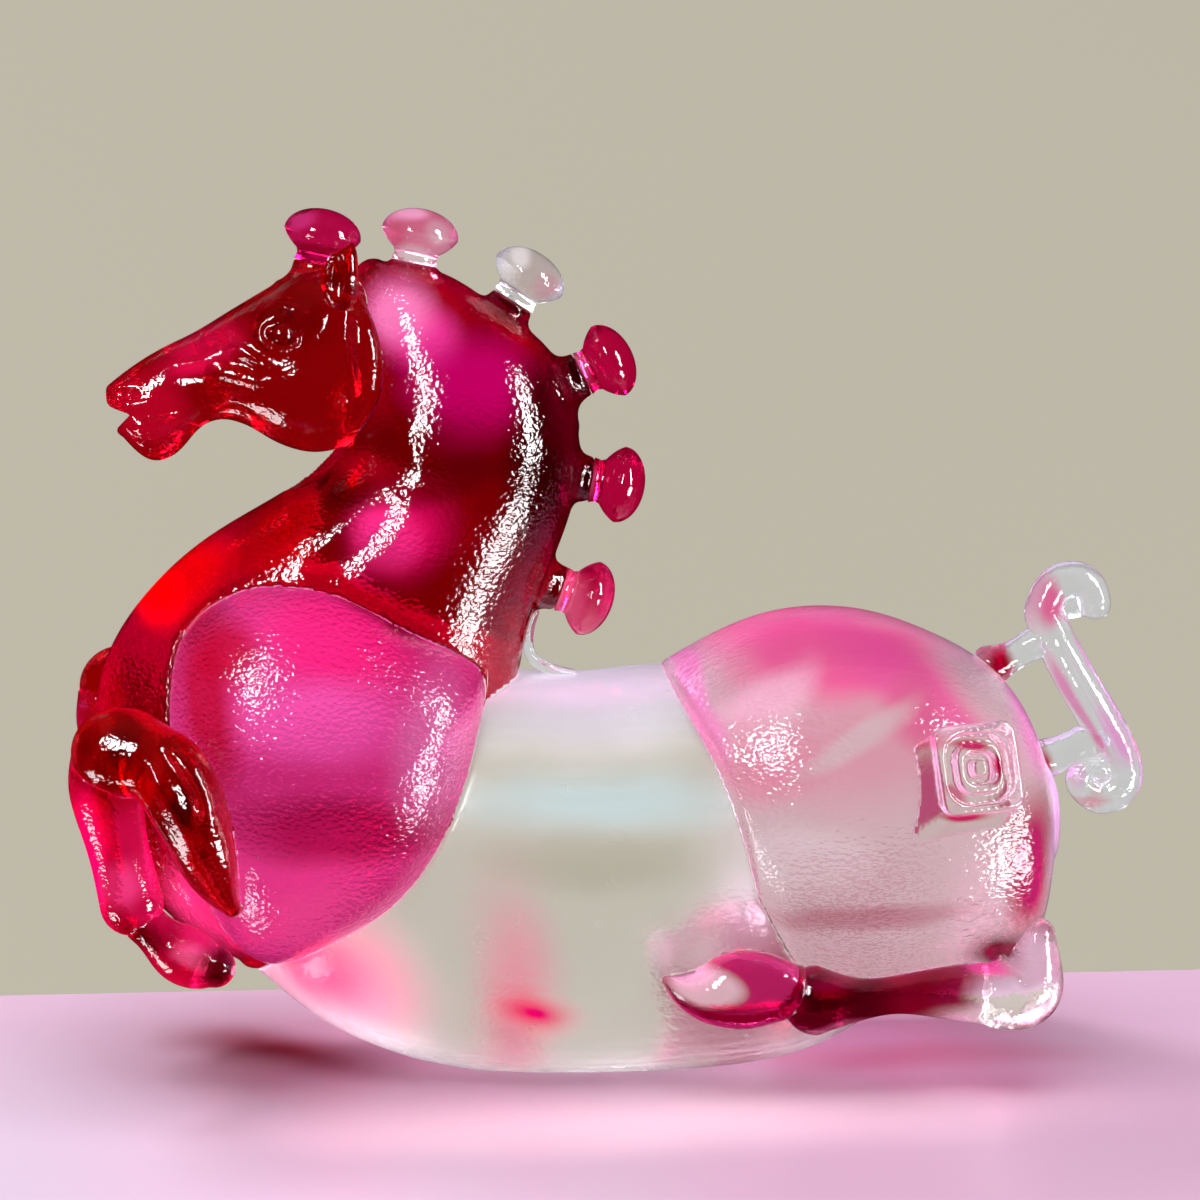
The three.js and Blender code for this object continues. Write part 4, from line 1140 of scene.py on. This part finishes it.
            (-80, 36, 5, 6, 0, (245, 70, 150), 0.8, 0.25),
            (-76, 27, 7, 3, -20, (150, 2, 30), 0.9, 0.03),
            (-69.5, 24, 4, 3, -20, (235, 95, 150), 0.9, 0.25),
            (-65.6, 22.8, 4.4, 4.6, -20, (105, 2, 8), 0.95, 0),
        ],
    },
    "hind_hoof_glass": {
        "pieces": ["left_hind_hoof", "right_hind_hoof"],
        "tint": (165, 2, 55), "clear": 0.98, "grain": 0.06, "core": 0.55, "drift": 3,
        "patches": [
            (13.8, 19.2, 7, 3.8, -8, (236, 185, 215), 0.95, 0.1),
        ],
    },
    "hind_leg_glass": {
        "pieces": ["left_hock", "right_hock", "left_hind_cannon", "right_hind_cannon"],
        "tint": (150, 2, 45), "clear": 0.98, "grain": 0.1, "glow": 0.04,
        "patches": [
            (36, 16, 13, 8, 0, (95, 0, 22), 0.95, 0),
            (40, 20.2, 12, 1.8, 2, (205, 20, 100), 0.9, 0.08),
            (36, 11.6, 8, 2.2, 8, (226, 140, 178), 0.95, 0.1),
            (60, 12.5, 14, 4.6, 4, (236, 226, 230), 1.0, 0.1),
            (64, 17.5, 10, 6, 0, (240, 234, 238), 1.0, 0.1),
            (60, 21.6, 6, 1.4, -8, (250, 30, 150), 0.9, 0.3),
            (70, 20, 7, 12, 0, (244, 238, 242), 1.0, 0.1),
            (71, 12, 3.4, 2.6, 35, (105, 40, 75), 0.95, 0),
            (73.4, 15.6, 1.2, 2.2, 0, (250, 110, 195), 0.95, 0.35),
        ],
    },
}
seamGlass = fusedGlass()
for lookName, look in looks.items():
    glass = glassOf(lookName, look)
    for name in look["pieces"]:
        pieces[name][0].data.materials.append(glass)
        pieces[name][0].data.materials.append(seamGlass)


def findSeams(depth=0.4, touch=0.12):
    # faces that touch the glass of a neighbour become open seams
    for name, (piece, _) in pieces.items():
        mesh = piece.data
        count = len(mesh.polygons)
        centres, normals = np.empty(count * 3), np.empty(count * 3)
        mesh.polygons.foreach_get("center", centres)
        mesh.polygons.foreach_get("normal", normals)
        centres = centres.reshape(-1, 3) / mm - (shift, 0, 0)
        probe = centres + normals.reshape(-1, 3) * depth
        inner = np.zeros(count, bool)
        for other, (_, form) in pieces.items():
            if other != name:
                met = np.flatnonzero(form.at(probe) < 0)
                inner[met] |= form.at(centres[met]) < touch
        mesh.polygons.foreach_set("material_index", inner.astype(np.int32))
        mesh.update()


findSeams()
print("seams found")

for name, (piece, _) in pieces.items():
    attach(piece, "root")
    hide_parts(name)


# table, wall and light

# a pool is the middle, half sizes and turn of an oval painted on the table top: a painted lighter spread to the front
# left, the painted contact shadows under the chest and under the hindquarters, tinted as if by light through the
# glass, and a painted lighter patch under the belly that eases the cast shadow there
tableFacts = {
    "near": -900, "far": 55, "half": 1100, "thick": 20, "lean": -0.025,
    "paintedShadowsAndLight": [
        (-200, -120, 260, 300, 0, (198, 192, 212), 0.9),
        (-55, 8, 34, 17, -45, (125, 18, 48), 0.95),
        (52, -4, 42, 14, 5, (190, 120, 152), 0.8),
        (10, -42, 95, 26, 4, (238, 200, 222), 0.85),
    ],
}
wallFacts = {"at": 1600, "half": 3900, "low": -1160, "high": 3870}


def sheet(name, points, faces, material):
    mesh = bpy.data.meshes.new(name)
    mesh.from_pydata([tuple(c * mm for c in p) for p in points], [], faces)
    mesh.materials.append(material)
    thing = bpy.data.objects.new(name, mesh)
    thing.visible_glossy = False  # the glass mirrors only the windows
    bpy.context.scene.collection.objects.link(thing)


def tableTop():
    recipe = Recipe("pale_table")
    place = recipe.place()
    mottle = recipe.noise(place, 7.0, 3.0)
    tint = recipe.mixed(mottle, colour(198, 166, 194), colour(192, 155, 183))
    drift = recipe.drifted(place, 30.0, 12 * mm)
    # painted shadows and painted light laid over the table's own colour
    for x, y, wide, deep, turn, rgb, strength in tableFacts["paintedShadowsAndLight"]:
        mask = recipe.oval(drift, (x, y, 0), (0, 0, turn), (wide, deep, endless))
        tint = recipe.mixed(mask * strength, tint, colour(*rgb))
    return recipe.finish("ShaderNodeBsdfPrincipled", {"Base Color": tint, "Roughness": 0.4})


def wallPaint():
    recipe = Recipe("beige_wall")
    place = recipe.place()
    shade = recipe.noise(place, 0.62, 1.0)
    tint = recipe.mixed(shade, colour(199, 192, 176), colour(182, 177, 160))
    values = {
        "Base Color": (0, 0, 0, 1), "Roughness": 1.0, "Specular IOR Level": 0.0, "Emission Color": tint,
        "Emission Strength": 1.0,
    }
    return recipe.finish("ShaderNodeBsdfPrincipled", values)


near, far, half, lean = (tableFacts[k] for k in ("near", "far", "half", "lean"))
top = [(-half, near, 0), (half, near, 0), (half, far - half * lean, 0), (-half, far + half * lean, 0)]
bottom = [(x, y, -tableFacts["thick"]) for x, y, z in top]
slabFaces = [(0, 1, 2, 3), (7, 6, 5, 4), (0, 4, 5, 1), (1, 5, 6, 2), (2, 6, 7, 3), (3, 7, 4, 0)]
sheet("table", top + bottom, slabFaces, tableTop())
at, half, low, high = (wallFacts[k] for k in ("at", "half", "low", "high"))
sheet("wall", [(-half, at, low), (half, at, low), (half, at, high), (-half, at, high)], [(0, 1, 2, 3)], wallPaint())

glassPieces = bpy.data.collections.new("glass_pieces")
for piece, _ in pieces.values():
    glassPieces.objects.link(piece)


def hangLamp(name, aim, turn, rise, away, size, strength, mirrored):
    # a lamp turn degrees right of the view from the front and rise degrees up, away from what it aims at;
    # a mirrored one lights only the glass, the others light everything and aren't mirrored
    data = bpy.data.lights.new(name, "AREA")
    data.shape = "RECTANGLE"
    data.size, data.size_y = (a * mm for a in size)
    data.energy = strength * math.pi * data.size * data.size_y
    data.color = (1.0, 0.985, 1.0)
    lamp = bpy.data.objects.new(name, data)
    turn, rise = math.radians(turn), math.radians(rise)
    toward = Vector((math.sin(turn) * math.cos(rise), -math.cos(turn) * math.cos(rise), math.sin(rise)))
    lamp.location = (Vector(aim) + toward * away) * mm
    lamp.rotation_euler = (-toward).to_track_quat("-Z", "Y").to_euler()
    bpy.context.scene.collection.objects.link(lamp)
    lamp.visible_glossy = mirrored
    if mirrored:
        lamp.light_linking.receiver_collection = glassPieces


hangLamp("left_window", (-10, 0, 70), -34, 28, 560, (95, 220), 36, True)
hangLamp("right_window", (0, 0, 70), 61, 21, 560, (110, 380), 34, True)
# bright strips of the table at either side, seen in the sides of the horse
hangLamp("right_shine", (0, 0, 60), 58, -15, 420, (150, 130), 26, True)
hangLamp("left_shine", (0, 0, 60), -76, -34, 300, (90, 80), 12, True)
hangLamp("back_window", (-20, 0, 60), -140, 48, 740, (220, 120), 34, False)
hangLamp("ceiling", (0, -60, 0), -20, 82, 900, (900, 900), 4.6, False)

world = bpy.data.worlds.new("studio_air")
world.use_nodes = True
air = world.node_tree.nodes["Background"]
air.inputs["Color"].default_value = colour(178, 173, 162)
air.inputs["Strength"].default_value = 0.8
world.cycles_visibility.glossy = False  # a dark room ahead, so that the glass mirrors only the windows
bpy.context.scene.world = world
bpy.context.scene.view_settings.view_transform = "Standard"
print("stage set")
